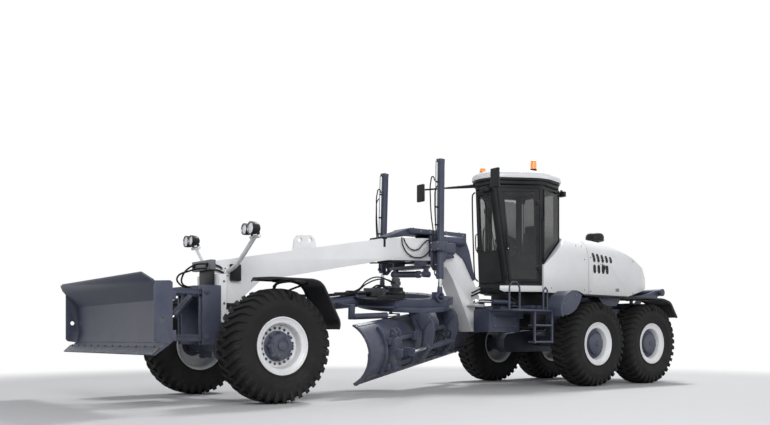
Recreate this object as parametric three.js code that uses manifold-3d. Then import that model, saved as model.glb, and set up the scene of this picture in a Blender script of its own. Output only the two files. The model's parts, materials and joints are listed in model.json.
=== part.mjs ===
// Heavy six-wheel-drive motor grader with a front dozer blade.
// Millimetres, +Z up. The machine faces -Y and its left side is +X.
// While it is being built, y = 0 is the front axle and z = 0 is the ground;
// the finished group is moved so that its origin is below the middle of the machine.
import * as THREE from 'three';
import Module from 'manifold-3d';
import { mergeVertices } from 'three/addons/utils/BufferGeometryUtils.js';

const wasm = await Module();
wasm.setup();

// Fits and clearances
const seat = 0.3; // between pieces that are bolted or welded together
const running = 0.6; // round a pin that turns, and beside a rail that slides
const moving = 8; // between pieces that pass each other

// Wheels and axles
const wheelFacets = 20;
const tyreRadius = 745;
const tyreWidth = 516;
const beadRadius = 350;
const beadHalf = 206;
const track = 2400;
const tandemFrontY = 6390;
const tandemSpacing = 1590;
const tandemIn = 662; // inner face of each tandem case
const hubRadius = 185;
const axleHeight = tyreRadius;
const wheelX = track / 2;
const kingpinX = 880;
const kingpinRadius = 42;
const knuckleHalf = 140;
const lugThickness = 40;
const discInner = 45; // inner face of the wheel disc, outward from the tyre's middle
const discOuter = 75;
const tieRodY = 360;
const tieRodZ = axleHeight - 55;
const tieRodPin = 22;

// Main frame
const beamHalf = 160;
const headFrontY = -350;
const headTopZ = 1905;
const axlePinZ = 935;
const axlePinRadius = 45;
const yokeInner = 190; // half the space between the yoke plates
const ballY = 400;
const ballZ = 1230;
const ballRadius = 70;
const ballHalf = 62;
const pivotY = 4800;
const pivotPinRadius = 60;
const hitchLowZ = 960;
const hitchHighZ = 1440;
const lugPlate = 50;
const lugReach = 150; // from the pivot to the rounded end of each hitch plate

// Saddle and lift cylinders
const trunnionX = 740;
const trunnionY = 3300;
const trunnionZ = 2300;
const trunnionPin = 28;
const liftBarrelRadius = 60;
const liftBand = liftBarrelRadius + 12; // radius of the band that carries the trunnion pins
const liftBarrelLow = { left: 515, right: 335 }; // below the trunnion
const liftBarrelHigh = 1390; // above the trunnion
const liftRodRadius = 32;
const eyeHole = 50;
const eyeRadius = 85;
const eyeWidth = 50;
const eyePin = 24;

// Drawbar, circle and grading blade, described as if they hung level
const drawbarPitch = THREE.MathUtils.degToRad(3.2); // rear end raised
const drawbarRoll = THREE.MathUtils.degToRad(7.3); // left side lowered
const drawbarTube = 100;
const liftLugX = 610; // inner face of each lift lug on the drawbar
const liftEyeY = 3300;
const liftEyeZ = 1430;
const circleY = 3150;
const circleOuter = 760;
const circleInner = 650;
const circleTop = 1270;
const circleDepth = 80;
const circleTurn = THREE.MathUtils.degToRad(-64);
const bladeLength = 4000;
const bladeLow = 217;
const bladeHigh = 1064;
const bladeOffset = 119; // chord of the blade, behind the circle's axis
const bladeShift = -55;
const bladeArc = 480;
const bladeWall = 26;
const railFrom = -1150; // the slide rails, along the blade from the circle's axis
const railTo = 1400;
const armX = 500;
const railHeight = 56;

// Dozer blade and its linkage
const dozerHalf = 1600;
const dozerLow = 650;
const dozerHigh = 1585;
const dozerFaceY = -1610;
const linkPivotY = -560;
const linkLength = 900;
const lowerLinkZ = 850;
const upperLinkZ = 1470;
const linkX = 330;
const linkPin = 26;
const dozerPin = 24;
const dozerEarX = 68; // inner face of each ear that holds the cylinder
const dozerRodRadius = 26;
const dozerFootShare = 0.62; // where the cylinder meets the lower links, as a share of their length

// Rear frame and cab
const railX = 330;
const railWidth = 90;
const railLow = 1120;
const railHigh = 1420;
const rearFrameEnd = 9050;
const cabFloorZ = 1800;
const cabTopZ = 3560;
const cabWall = 45;
const cabFrontX = 270;
const cabFrontY = 5100;
const cabMidX = 690;
const cabMidY = 5770;
const cabRearX = 500;
const cabRearY = 6450;
const cabLean = 110; // how far the top of the front leans forward, and its foot back
const roofHeight = 290;

// Hood and tail
const hoodHalf = 750;
const hoodSplitY = 7000;
const hoodEndY = 9150;
const hoodLowZ = 1660;
const hoodHighZ = 2740;
const hoodWall = 30;
const hoodHingeX = 250;
const hoodHingeY = 8980;
const hoodHingeZ = 1870;
const hoodPin = 18;
// How far the hood's lower front edge reaches forward as it swings up
const hoodSweep = Math.hypot(hoodHingeY - hoodSplitY, hoodHingeZ - hoodLowZ) - (hoodHingeY - hoodSplitY);
const fenderTopZ = 1590;
const fenderWall = 24;
const bumperY = 9310;
const bumperZ = 1770;
const bumperRadius = 70;

// ---------------------------------------------------------------- shapes

function solid(geometry) {
  geometry.deleteAttribute('normal');
  geometry.deleteAttribute('uv');
  const merged = mergeVertices(geometry, 1e-3);
  const corners = merged.index.array;
  const faces = [];
  for (let i = 0; i < corners.length; i += 3) {
    const [a, b, c] = [corners[i], corners[i + 1], corners[i + 2]];
    if (a !== b && b !== c && c !== a) faces.push(a, b, c);
  }
  const vertProperties = merged.attributes.position.array;
  return new wasm.Manifold(new wasm.Mesh({ numProp: 3, vertProperties, triVerts: new Uint32Array(faces) }));
}

function geometryOf(body) {
  const mesh = body.getMesh();
  const geometry = new THREE.BufferGeometry();
  geometry.setAttribute('position', new THREE.BufferAttribute(mesh.vertProperties, 3));
  geometry.setIndex(new THREE.BufferAttribute(mesh.triVerts, 1));
  geometry.computeVertexNormals();
  return geometry;
}

function join(...bodies) {
  return bodies.reduce((whole, body) => whole.add(body));
}

function cut(body, ...tools) {
  return tools.reduce((whole, tool) => whole.subtract(tool), body);
}

function block([x0, y0, z0], [x1, y1, z1]) {
  const geometry = new THREE.BoxGeometry(x1 - x0, y1 - y0, z1 - z0);
  geometry.translate((x0 + x1) / 2, (y0 + y1) / 2, (z0 + z1) / 2);
  return solid(geometry);
}

function outline(points) {
  return new THREE.Shape(points.map(([a, b]) => new THREE.Vector2(a, b)));
}

function extruded(points, depth, placing) {
  const geometry = new THREE.ExtrudeGeometry(outline(points), { depth, bevelEnabled: false });
  return solid(geometry.applyMatrix4(placing));
}

// A side view in (y, z), from x0 to x1
function sidePlate(points, x0, x1) {
  const placing = new THREE.Matrix4().makeBasis(
    new THREE.Vector3(0, 1, 0), new THREE.Vector3(0, 0, 1), new THREE.Vector3(1, 0, 0));
  placing.setPosition(x0, 0, 0);
  return extruded(points, x1 - x0, placing);
}

// A plan in (x, y), from z0 to z1
function planPlate(points, z0, z1) {
  return extruded(points, z1 - z0, new THREE.Matrix4().makeTranslation(0, 0, z0));
}

// A front view in (x, z), from y0 to y1
function crossPlate(points, y0, y1) {
  const placing = new THREE.Matrix4().makeBasis(
    new THREE.Vector3(1, 0, 0), new THREE.Vector3(0, 0, 1), new THREE.Vector3(0, -1, 0));
  placing.setPosition(0, y1, 0);
  return extruded(points, y1 - y0, placing);
}

function rod(from, to, radius, sides = 8, phase = 0) {
  const start = new THREE.Vector3(...from);
  const along = new THREE.Vector3(...to).sub(start);
  const geometry = new THREE.CylinderGeometry(radius, radius, along.length(), sides, 1, false, phase);
  const turn = new THREE.Quaternion().setFromUnitVectors(
    new THREE.Vector3(0, 1, 0), along.clone().normalize());
  geometry.applyQuaternion(turn);
  geometry.translate(...start.addScaledVector(along, 0.5).toArray());
  return solid(geometry);
}

// A hole that runs 1 mm past both ends, with its flats facing the corners of the pin inside it
function bore(from, to, pinRadius, clearance = running, sides = 8) {
  const start = new THREE.Vector3(...from);
  const end = new THREE.Vector3(...to);
  const past = end.clone().sub(start).normalize();
  const radius = (pinRadius + clearance) / Math.cos(Math.PI / sides);
  const [a, b] = [start.sub(past).toArray(), end.add(past).toArray()];
  return rod(a, b, radius, sides, Math.PI / sides);
}

function pinX(x0, x1, y, z, radius, sides = 8) {
  return rod([x0, y, z], [x1, y, z], radius, sides);
}

function boreX(x0, x1, y, z, pinRadius, clearance = running, sides = 8) {
  return bore([x0, y, z], [x1, y, z], pinRadius, clearance, sides);
}

// A tube along a bent line with rounded corners
function bentTube(points, radius, sides = 6, bend = 60) {
  const path = new THREE.CurvePath();
  const corners = points.map((point) => new THREE.Vector3(...point));
  let start = corners[0];
  for (let i = 1; i < corners.length - 1; i += 1) {
    const inward = corners[i - 1].clone().sub(corners[i]).setLength(bend).add(corners[i]);
    const outward = corners[i + 1].clone().sub(corners[i]).setLength(bend).add(corners[i]);
    path.add(new THREE.LineCurve3(start, inward));
    path.add(new THREE.QuadraticBezierCurve3(inward, corners[i], outward));
    start = outward;
  }
  path.add(new THREE.LineCurve3(start, corners.at(-1)));
  const ring = new THREE.Shape().absarc(0, 0, radius, 0, Math.PI * 2);
  const steps = Math.max(2, Math.round(path.getLength() / 120));
  const options = { steps, extrudePath: path, curveSegments: sides / 2, bevelEnabled: false };
  return solid(new THREE.ExtrudeGeometry(ring, options));
}

// A turned body round the X axis: profile of (radius, along)
function turned(profile, sides) {
  const points = profile.map(([radius, along]) => new THREE.Vector2(radius, along));
  const geometry = new THREE.LatheGeometry(points, sides);
  geometry.rotateY(Math.PI / sides);
  geometry.rotateZ(-Math.PI / 2);
  return solid(geometry);
}

// The same body on the other side of the machine
function mirrored(body) {
  const mesh = body.getMesh();
  const spots = Float32Array.from(mesh.vertProperties, (value, i) => (i % 3 === 0 ? -value : value));
  const faces = new Uint32Array(mesh.triVerts.length);
  for (let i = 0; i < faces.length; i += 3) {
    faces.set([mesh.triVerts[i], mesh.triVerts[i + 2], mesh.triVerts[i + 1]], i);
  }
  return new wasm.Manifold(new wasm.Mesh({ numProp: 3, vertProperties: spots, triVerts: faces }));
}

function arcPoints(centreA, centreB, radius, from, to, steps) {
  return Array.from({ length: steps + 1 }, (_, i) => {
    const angle = from + ((to - from) * i) / steps;
    return [centreA + radius * Math.cos(angle), centreB + radius * Math.sin(angle)];
  });
}

// ---------------------------------------------------------------- finishes

const finish = (color, roughness, metalness) => new THREE.MeshStandardMaterial({ color, roughness, metalness });
const whitePaint = finish(0xe4e6e6, 0.4, 0.1);
const navyPaint = finish(0x39425a, 0.45, 0.15);
const blackPaint = finish(0x1b1c1f, 0.5, 0.1);
const rubber = finish(0x18191a, 0.85, 0);
const chrome = finish(0xc8ccd2, 0.2, 1);
const glass = finish(0x5c6468, 0.1, 0.1);
const trim = finish(0x2a2b2e, 0.8, 0);
const castIron = finish(0x4c4f55, 0.6, 0.4);

const machine = new THREE.Group();

function piece(name, body, material, parent = machine) {
  const mesh = new THREE.Mesh(geometryOf(body), material.clone());
  mesh.name = name;
  parent.add(mesh);
  return mesh;
}

// Both sides from the body of the left side
function pair(name, body, material, parent = machine) {
  piece(`${name}_left`, body, material, parent);
  piece(`${name}_right`, mirrored(body), material, parent);
}

// ---------------------------------------------------------------- wheels

function tyre() {
  const tread = tyreRadius / Math.cos(Math.PI / wheelFacets);
  const half = tyreWidth / 2;
  const side = [
    [beadRadius, beadHalf - 4], [beadRadius + (tyreRadius - beadRadius) * 0.47, half],
    [beadRadius + (tyreRadius - beadRadius) * 0.89, half - 30], [tread, half - 100],
  ];
  const far = side.map(([radius, along]) => [radius, -along]);
  return turned([...far, ...side.reverse(), far[0]], wheelFacets);
}

function rim(opening, hubFace) {
  const bead = beadRadius - seat;
  const barrel = beadRadius - 28;
  const lip = beadRadius + 28;
  const lipFace = beadHalf + 9;
  return turned([
    [0, discInner], [barrel, discInner], [barrel, -beadHalf - 22],
    [lip, -beadHalf - 22], [lip, -lipFace], [bead, -lipFace], [bead, lipFace], [lip, lipFace],
    [lip, beadHalf + 22], [opening, beadHalf + 22], [opening, discOuter],
    [hubRadius, discOuter], [hubRadius, hubFace], [0, hubFace],
  ], wheelFacets);
}

function wheels() {
  const rows = [['front', 0, 280, 215], ['middle', tandemFrontY, 258, 200],
    ['rear', tandemFrontY + tandemSpacing, 258, 200]];
  for (const [row, y, opening, hubFace] of rows) {
    for (const side of [1, -1]) {
      const place = new THREE.Group();
      place.position.set(side * wheelX, y, axleHeight);
      machine.add(place);
      const hand = side > 0 ? 'left' : 'right';
      const facing = (body) => (side > 0 ? body : mirrored(body));
      piece(`${row}_tyre_${hand}`, facing(tyre()), rubber, place);
      piece(`${row}_rim_${hand}`, facing(rim(opening, hubFace)), whitePaint, place);
    }
  }
}

// ---------------------------------------------------------------- front axle and steering

const lugZ = knuckleHalf + moving; // from the axle's height to the inner face of each kingpin lug

function frontAxle() {
  const lugOut = lugZ + lugThickness;
  const tube = block([-kingpinX + 130, -85, axleHeight - 85], [kingpinX - 130, 85, axleHeight + 85]);
  const housing = rod([0, -178, axleHeight], [0, 178, axleHeight], 215, 14);
  const boss = rod([0, -yokeInner + seat, axlePinZ], [0, yokeInner - seat, axlePinZ], axlePinRadius + 55);
  const pin = rod([0, -yokeInner - 72, axlePinZ], [0, yokeInner + 72, axlePinZ], axlePinRadius);
  let axle = join(tube, housing, boss, pin);
  for (const side of [1, -1]) {
    const x0 = side > 0 ? kingpinX - 140 : -kingpinX + 100;
    const web = block([x0, -75, axleHeight - lugOut], [x0 + 40, 75, axleHeight + lugOut]);
    axle = join(axle, web);
    for (const level of [-1, 1]) {
      const z0 = axleHeight + (level > 0 ? lugZ : -lugOut);
      const lugStart = Math.min(side * (kingpinX - 140), side * kingpinX);
      const arm = block([lugStart, -65, z0], [lugStart + 140, 65, z0 + lugThickness]);
      const eye = rod([side * kingpinX, 0, z0], [side * kingpinX, 0, z0 + lugThickness], 65);
      const hole = bore([side * kingpinX, 0, z0], [side * kingpinX, 0, z0 + lugThickness], kingpinRadius);
      axle = cut(join(axle, arm, eye), hole);
    }
  }
  piece('front_axle', axle, navyPaint);
}

function knuckles() {
  const lugOut = lugZ + lugThickness;
  const body = rod([kingpinX, 0, axleHeight - knuckleHalf], [kingpinX, 0, axleHeight + knuckleHalf], 75);
  const pin = rod([kingpinX, 0, axleHeight - lugOut - 12], [kingpinX, 0, axleHeight + lugOut + 12], kingpinRadius);
  const spindle = pinX(kingpinX, wheelX + discInner - seat, 0, axleHeight, 110, 16);
  const armEnd = [kingpinX, tieRodY, tieRodZ];
  const arm = rod([kingpinX, 30, tieRodZ], armEnd, 26, 12);
  const eye = rod([armEnd[0], tieRodY, tieRodZ - 30], [armEnd[0], tieRodY, tieRodZ + 30], 42);
  const hole = bore([armEnd[0], tieRodY, tieRodZ - 30], [armEnd[0], tieRodY, tieRodZ + 30], tieRodPin);
  const bracketSeat = block([kingpinX - 35, 40, axleHeight + 60], [kingpinX + 35, 145, axleHeight + 130]);
  pair('steering_knuckle', cut(join(body, pin, spindle, arm, eye, bracketSeat), hole), navyPaint);

  const reach = armEnd[0];
  const bar = pinX(-reach + 70, reach - 70, tieRodY, tieRodZ + 70, 24, 12);
  const ends = [-1, 1].map((side) => join(
    rod([side * reach, tieRodY, tieRodZ - 45], [side * reach, tieRodY, tieRodZ + 80], tieRodPin),
    rod([side * reach, tieRodY, tieRodZ + 40], [side * reach, tieRodY, tieRodZ + 98], 40),
    pinX(Math.min(side * reach, side * (reach - 90)), Math.max(side * reach, side * (reach - 90)),
      tieRodY, tieRodZ + 70, 24, 12)));
  piece('tie_rod', join(bar, ...ends), navyPaint);
}

function frontFenders() {
  const x0 = wheelX - tyreWidth / 2 - 4;
  const x1 = wheelX + tyreWidth / 2;
  const top = axleHeight + tyreRadius + 125;
  const back = tyreRadius + 65;
  const outer = [[-460, top - 20], [-180, top + 8], [480, top + 8], [600, top - 42], [back + 85, axleHeight + 300],
    [back + 60, axleHeight + 215]];
  const inner = outer.map(([y, z]) => [y * 0.965 - 4, z - fenderWall]);
  inner[0][0] = outer[0][0];
  const shell = sidePlate([...outer, ...inner.reverse()], x0, x1);
  const stayX = kingpinX + 5;
  const stayY = 165;
  const stay = rod([stayX, stayY, axleHeight + 95], [stayX, stayY, top - 60], 18, 10);
  const foot = block([stayX - 28, 145 + seat, axleHeight + 66], [stayX + 28, 190, axleHeight + 124]);
  const crossbar = block([stayX - 18, stayY - 25, top - 70], [x1 - 80, stayY + 25, top - 12]);
  pair('front_fender', join(shell, stay, foot, crossbar), blackPaint);
}

// ---------------------------------------------------------------- main frame

function mainFrame() {
  const side = [
    [headFrontY, headTopZ], [headFrontY, 1150], [60, 1150], [60, 1380], [390, 1668], [1960, 1963], [2700, 2094],
    [3680, 2140], [3960, 2030], [4100, 1850], [4220, 1629], [4390, 1301], [4550, hitchLowZ],
    [pivotY - 90, hitchLowZ], [pivotY - 90, hitchHighZ], [4730, 1559], [4660, 1713], [4320, 2268], [4180, 2400],
    [3680, 2513], [2680, 2448],
  ];
  const beam = sidePlate(side, -beamHalf, beamHalf);
  const yokeTop = block([-200, -270, 1110], [200, 270, 1250]);
  const yoke = [-1, 1].map((end) => {
    const y0 = end > 0 ? yokeInner : -yokeInner - 80;
    const plate = block([-150, y0, axlePinZ - 80], [150, y0 + 80, 1200]);
    return cut(plate, bore([0, y0, axlePinZ], [0, y0 + 80, axlePinZ], axlePinRadius));
  });
  const ballStalk = rod([0, 255, ballZ], [0, ballY, ballZ], 45);
  const ball = pinX(-ballHalf, ballHalf, ballY, ballZ, ballRadius, 32);
  const hitchPlates = [hitchLowZ, hitchHighZ - lugPlate].map((z0) => {
    const plate = block([-lugReach, pivotY - 120, z0], [lugReach, pivotY, z0 + lugPlate]);
    const round = rod([0, pivotY, z0], [0, pivotY, z0 + lugPlate], lugReach, 16);
    const hole = bore([0, pivotY, z0], [0, pivotY, z0 + lugPlate], pivotPinRadius);
    return cut(join(plate, round), hole);
  });
  // The pocket between the hitch plates leaves room for the rear frame's pivot block
  const pocket = block([-beamHalf - 1, pivotY - 175, hitchLowZ + lugPlate],
    [beamHalf + 1, pivotY + lugReach + 1, hitchHighZ - lugPlate]);
  const ears = [-1, 1].map((hand) => {
    const x0 = hand > 0 ? beamHalf - 10 : -articX - 45;
    const plate = block([x0, articFrontY - 60, articZ - 72], [x0 + articX + 55 - beamHalf, articFrontY + 60, articZ - 52]);
    const post = rod([hand * articX, articFrontY, articZ - 60], [hand * articX, articFrontY, articZ + 35], articPin);
    return join(plate, post);
  });
  const frame = cut(join(beam, yokeTop, ...yoke, ballStalk, ball), pocket);
  piece('main_frame', join(frame, ...hitchPlates, ...ears), whitePaint);
}

function liftSaddle() {
  const top = block([-beamHalf - 60, 3120, 2560], [beamHalf + 60, 4330, 2640]);
  const cheek = sidePlate([
    [3120, 2080], [3480, 2080], [3560, 2200], [4120, 2330], [4330, 2200], [4560, 1840], [4600, 1850],
    [4470, 2330], [4330, 2640], [3120, 2640],
  ], beamHalf + seat, beamHalf + 30);
  const earIn = trunnionX - liftBand - 31;
  const earOut = trunnionX + liftBand + 6;
  const back = trunnionY - liftBand - 6;
  const ear = (x0) => block([x0, back - 2, trunnionZ - 75], [x0 + 25, trunnionY + 65, trunnionZ + 75]);
  const pinHole = boreX(earIn, earOut + 25, trunnionY, trunnionZ, trunnionPin);
  const web = block([earIn, back - 34, trunnionZ - 75], [earOut + 25, back, trunnionZ + 75]);
  const arm = block([beamHalf + 20, back - 12, trunnionZ - 95], [earIn + 1, trunnionY + 65, trunnionZ + 90]);
  const arms = cut(join(cheek, ear(earIn), ear(earOut), web, arm), pinHole);
  piece('lift_saddle', join(top, arms, mirrored(arms)), navyPaint);
}

function headlamps() {
  const foot = block([beamHalf + seat, -190, 1720], [beamHalf + 30, -90, 1820]);
  const post = bentTube([[beamHalf + 20, -140, 1770], [420, -150, 1830], [860, -180, 2170]], 26, 6, 90);
  const bar = pinX(770, 985, -180, 2180, 22, 10);
  const lamps = [800, 950].map((x) => join(
    rod([x, -290, 2265], [x, -160, 2265], 78, 14),
    rod([x, -180, 2175], [x, -180, 2230], 16, 8)));
  pair('headlamp', join(foot, post, bar, ...lamps), whitePaint);
}

// ---------------------------------------------------------------- lift cylinders

// World places of the drawbar's two lift pins
const ballPoint = new THREE.Vector3(0, ballY, ballZ);
const drawbarTilt = new THREE.Euler(drawbarPitch, drawbarRoll, 0, 'XYZ');

function tilted(x, y, z) {
  return new THREE.Vector3(x, y, z).sub(ballPoint).applyEuler(drawbarTilt).add(ballPoint);
}

// Where a lift pin crosses the upright plane of its cylinder
function liftPinPoint(side) {
  const start = tilted(0, liftEyeY, liftEyeZ);
  const along = tilted(side, liftEyeY, liftEyeZ).sub(start);
  return start.addScaledVector(along, (side * trunnionX - start.x) / along.x);
}

// A world place in the drawbar's own frame
function untilted(x, y, z) {
  const back = new THREE.Quaternion().setFromEuler(drawbarTilt).invert();
  return new THREE.Vector3(x, y, z).sub(ballPoint).applyQuaternion(back).add(ballPoint).toArray();
}

function liftCylinders() {
  for (const side of [1, -1]) {
    const hand = side > 0 ? 'left' : 'right';
    const place = new THREE.Group();
    place.position.set(side * trunnionX, trunnionY, trunnionZ);
    machine.add(place);
    const reach = liftPinPoint(side).sub(place.position);
    const down = reach.clone().normalize();
    const at = (distance) => down.clone().multiplyScalar(distance).toArray();
    const tube = rod(at(liftBarrelLow[hand]), at(-liftBarrelHigh), liftBarrelRadius, 16);
    const hollow = bore(at(liftBarrelLow[hand]), at(60 - liftBarrelHigh), liftRodRadius);
    const band = rod(at(60), at(-60), liftBand, 16);
    const pins = pinX(-liftBand - 28, liftBand + 28, 0, 0, trunnionPin);
    piece(`lift_barrel_${hand}`, cut(join(tube, band, pins), hollow), navyPaint, place);
    const shaft = rod(at(reach.length() - eyeRadius + 12), at(-300), liftRodRadius);
    const half = eyeWidth / 2;
    const eye = pinX(reach.x - half, reach.x + half, reach.y, reach.z, eyeRadius, 16);
    const opening = pinX(reach.x - half - 1, reach.x + half + 1, reach.y, reach.z, eyeHole, 16);
    piece(`lift_rod_${hand}`, cut(join(shaft, eye), opening), chrome, place);
  }
}

// ---------------------------------------------------------------- drawbar, circle and blade

function drawbarGroup() {
  const hang = new THREE.Group();
  hang.position.copy(ballPoint);
  hang.rotation.copy(drawbarTilt);
  machine.add(hang);
  const level = new THREE.Group();
  level.position.copy(ballPoint).negate();
  hang.add(level);
  return level;
}

function drawbar(parent) {
  const carrierLow = circleTop + running;
  const carrierHigh = circleTop + 120;
  const tubeEnd = circleY - circleOuter - 50;
  const tube = rod([0, ballY + 130, ballZ + 6], [0, tubeEnd, circleTop + 75], drawbarTube, 16);
  const ballEnds = [-1, 1].map((side) => untilted(side * 150, ballY, ballZ));
  const socket = cut(rod([0, ballY - 40, ballZ], [0, ballY + 150, ballZ], ballRadius + 60, 16),
    bore(...ballEnds, ballRadius, running, 32), block([-64, ballY - 41, ballZ - 66], [64, ballY, ballZ + 66]));
  const plan = [[130, 2250], [520, 2560], [700, circleY - 120], [700, circleY + 330], [420, circleY + 720],
    [-420, circleY + 720], [-700, circleY + 330], [-700, circleY - 120], [-520, 2560], [-130, 2250]];
  const carrier = planPlate(plan, carrierLow, carrierHigh);
  const opening = rod([0, circleY, carrierLow - 1], [0, circleY, carrierHigh + 1], circleInner - 190, 20);
  const lugs = [1, -1].map((side) => {
    const inner = side > 0 ? liftLugX : -liftLugX - 45;
    const plate = block([inner, liftEyeY - 75, carrierHigh - 40], [inner + 45, liftEyeY + 75, liftEyeZ + 70]);
    const pinStart = Math.min(side * (liftLugX + 20), side * (trunnionX + 85));
    return join(plate, pinX(pinStart, pinStart + trunnionX + 65 - liftLugX, liftEyeY, liftEyeZ, eyePin));
  });
  piece('drawbar', join(cut(join(carrier, tube), opening), socket, ...lugs), navyPaint, parent);
}

function circleGroup(parent) {
  const turn = new THREE.Group();
  turn.position.set(0, circleY, 0);
  turn.rotation.z = circleTurn;
  parent.add(turn);
  return turn;
}

// The blade's cross-section: an arc through its lower and upper edges, hollow towards the front
const bladeLean = 26;
const bladeChord = Math.hypot(bladeHigh - bladeLow, 2 * bladeLean);
const arcCentreY = bladeOffset - Math.sqrt(bladeArc ** 2 - (bladeChord / 2) ** 2);
const arcCentreZ = (bladeLow + bladeHigh) / 2;
const arcHalf = Math.asin(bladeChord / 2 / bladeArc);
const bladeBackY = arcCentreY + bladeArc + bladeWall;
const railY = bladeBackY - 8;
const railLevels = [arcCentreZ - 190, arcCentreZ + 190];

function circle(parent) {
  const low = circleTop - circleDepth;
  const ring = cut(rod([0, 0, low], [0, 0, circleTop], circleOuter, 28),
    rod([0, 0, low - 1], [0, 0, circleTop + 1], circleInner, 28));
  const footY = railY + railHeight + moving;
  const arms = [-1, 1].map((side) => {
    const x0 = side * armX - 30;
    const web = sidePlate([
      [330, low + 10], [620, low + 10], [footY + 130, 900], [footY + 90, railLevels[0] - 60],
      [footY, railLevels[0] - 60], [footY, railLevels[1] + 60], [footY, 960],
    ], x0, x0 + 60);
    const shoes = railLevels.map((z) => join(
      block([x0 - 60, footY, z - railHeight / 2 - 40], [x0 + 120, footY + 40, z + railHeight / 2 + 40]),
      block([x0 - 60, footY - 45, z + railHeight / 2 + running], [x0 + 120, footY + 20, z + railHeight / 2 + 30]),
      block([x0 - 60, footY - 45, z - railHeight / 2 - 30], [x0 + 120, footY + 20, z - railHeight / 2 - running])));
    return join(web, ...shoes);
  });
  const crossTube = pinX(-armX, armX, footY + 70, 880, 45, 14);
  piece('circle', join(ring, ...arms, crossTube), navyPaint, parent);
}

function gradingBlade(parent) {
  const x0 = bladeShift - bladeLength / 2;
  const x1 = bladeShift + bladeLength / 2;
  const lean = Math.atan2(bladeLean, (bladeHigh - bladeLow) / 2);
  const front = arcPoints(arcCentreY, arcCentreZ, bladeArc, -arcHalf + lean, arcHalf + lean, 12);
  const back = arcPoints(arcCentreY, arcCentreZ, bladeArc + bladeWall, arcHalf + lean, -arcHalf + lean, 12);
  const plate = sidePlate([...front, ...back], x0, x1);
  const rails = railLevels.map((z) => {
    const foot = arcCentreY + Math.sqrt(bladeArc ** 2 - (z - arcCentreZ) ** 2) + 6;
    return block([railFrom, foot, z - 12], [railTo, railY + 24, z + 12])
      .add(block([railFrom, railY + 12, z - railHeight / 2], [railTo, railY + railHeight, z + railHeight / 2]));
  });
  piece('grading_blade', join(plate, ...rails), navyPaint, parent);
}

// ---------------------------------------------------------------- dozer blade

function noseBracket() {
  const back = headFrontY - seat;
  const plates = [-1, 1].map((side) => {
    const x0 = side * linkX - 20 - 45;
    const one = sidePlate([[back, 760], [back, 1560], [linkPivotY - 60, 1560], [linkPivotY - 60, 760]], x0, x0 + 25);
    const two = sidePlate([[back, 760], [back, 1560], [linkPivotY - 60, 1560], [linkPivotY - 60, 760]],
      x0 + 105, x0 + 130);
    const pins = [lowerLinkZ, upperLinkZ].map((z) => pinX(x0, x0 + 130, linkPivotY, z, linkPin));
    return join(one, two, ...pins);
  });
  const panel = block([-linkX - 65, back - 40, 790], [linkX + 65, back, 1540]);
  const shelf = block([-84, linkPivotY - 40, dozerPinZ + 75], [84, back - 20, dozerPinZ + 105]);
  const ears = [-1, 1].map((side) => {
    const x0 = side > 0 ? dozerEarX : -dozerEarX - 16;
    return block([x0, linkPivotY - 60, dozerPinZ - 50], [x0 + 16, back - 20, dozerPinZ + 80]);
  });
  const pin = pinX(-84, 84, dozerPinY, dozerPinZ, dozerPin);
  piece('nose_bracket', join(panel, shelf, ...plates, ...ears, pin), navyPaint);
}

function linkPair(name, z, thickness, [braceY, braceZ, braceRadius]) {
  const half = 24;
  const tipY = linkPivotY - linkLength;
  const arms = [-1, 1].map((side) => {
    const x = side * linkX;
    const bar = block([x - half, tipY, z - thickness / 2], [x + half, linkPivotY, z + thickness / 2]);
    const eyes = [tipY, linkPivotY].map((y) => pinX(x - half, x + half, y, z, thickness / 2 + 12));
    const holes = [tipY, linkPivotY].map((y) => boreX(x - half, x + half, y, z, linkPin));
    return cut(join(bar, ...eyes), ...holes);
  });
  const brace = pinX(-linkX, linkX, braceY, braceZ, braceRadius);
  piece(name, join(...arms, brace), navyPaint);
}

function dozerBlade() {
  const tipY = linkPivotY - linkLength;
  const lip = dozerFaceY - 290; // front of the top edge
  const front = [[dozerFaceY - 200, dozerLow], [dozerFaceY - 25, 800], [dozerFaceY, 920], [dozerFaceY - 30, 1290],
    [lip, dozerHigh]];
  const back = [[lip + 30, dozerHigh + 12], [dozerFaceY + 10, 1300], [dozerFaceY + 40, 920], [dozerFaceY + 15, 780],
    [dozerFaceY - 165, dozerLow]];
  const corners = [-1, 1].map((side) => crossPlate([[side * (dozerHalf - 150), dozerHigh + 20],
    [side * (dozerHalf + 1), dozerHigh + 20], [side * (dozerHalf + 1), 1510]], lip - 5, dozerFaceY - 60));
  const plate = cut(sidePlate([...front, ...back], -dozerHalf + 10, dozerHalf - 10), ...corners);
  const cheekOutline = [[dozerFaceY - 180, 830], [dozerFaceY - 150, 800], [dozerFaceY + 10, 780],
    [dozerFaceY + 40, 805], [dozerFaceY + 40, 1490], [dozerFaceY + 10, 1510], [dozerFaceY - 180, 1500]];
  const cheeks = [-1, 1].map((side) => {
    const x0 = side > 0 ? dozerHalf - 25 : -dozerHalf;
    return sidePlate(cheekOutline, x0, x0 + 25);
  });
  const beams = [[820, 940], [1290, 1390]].map(([z0, z1]) => block(
    [-dozerHalf + 10, dozerFaceY + 5, z0], [dozerHalf - 10, tipY - 65, z1]));
  const mounts = [-1, 1].map((side) => {
    const plates = [-45, 35].map((offset) => {
      const x0 = side * linkX + offset;
      return block([x0, dozerFaceY + 15, 780], [x0 + 10, tipY + 55, 1530]);
    });
    const pins = [lowerLinkZ, upperLinkZ].map((z) => pinX(side * linkX - 45, side * linkX + 45, tipY, z, linkPin));
    return join(...plates, ...pins);
  });
  piece('dozer_blade', join(plate, ...cheeks, ...beams, ...mounts), navyPaint);
}

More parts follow.
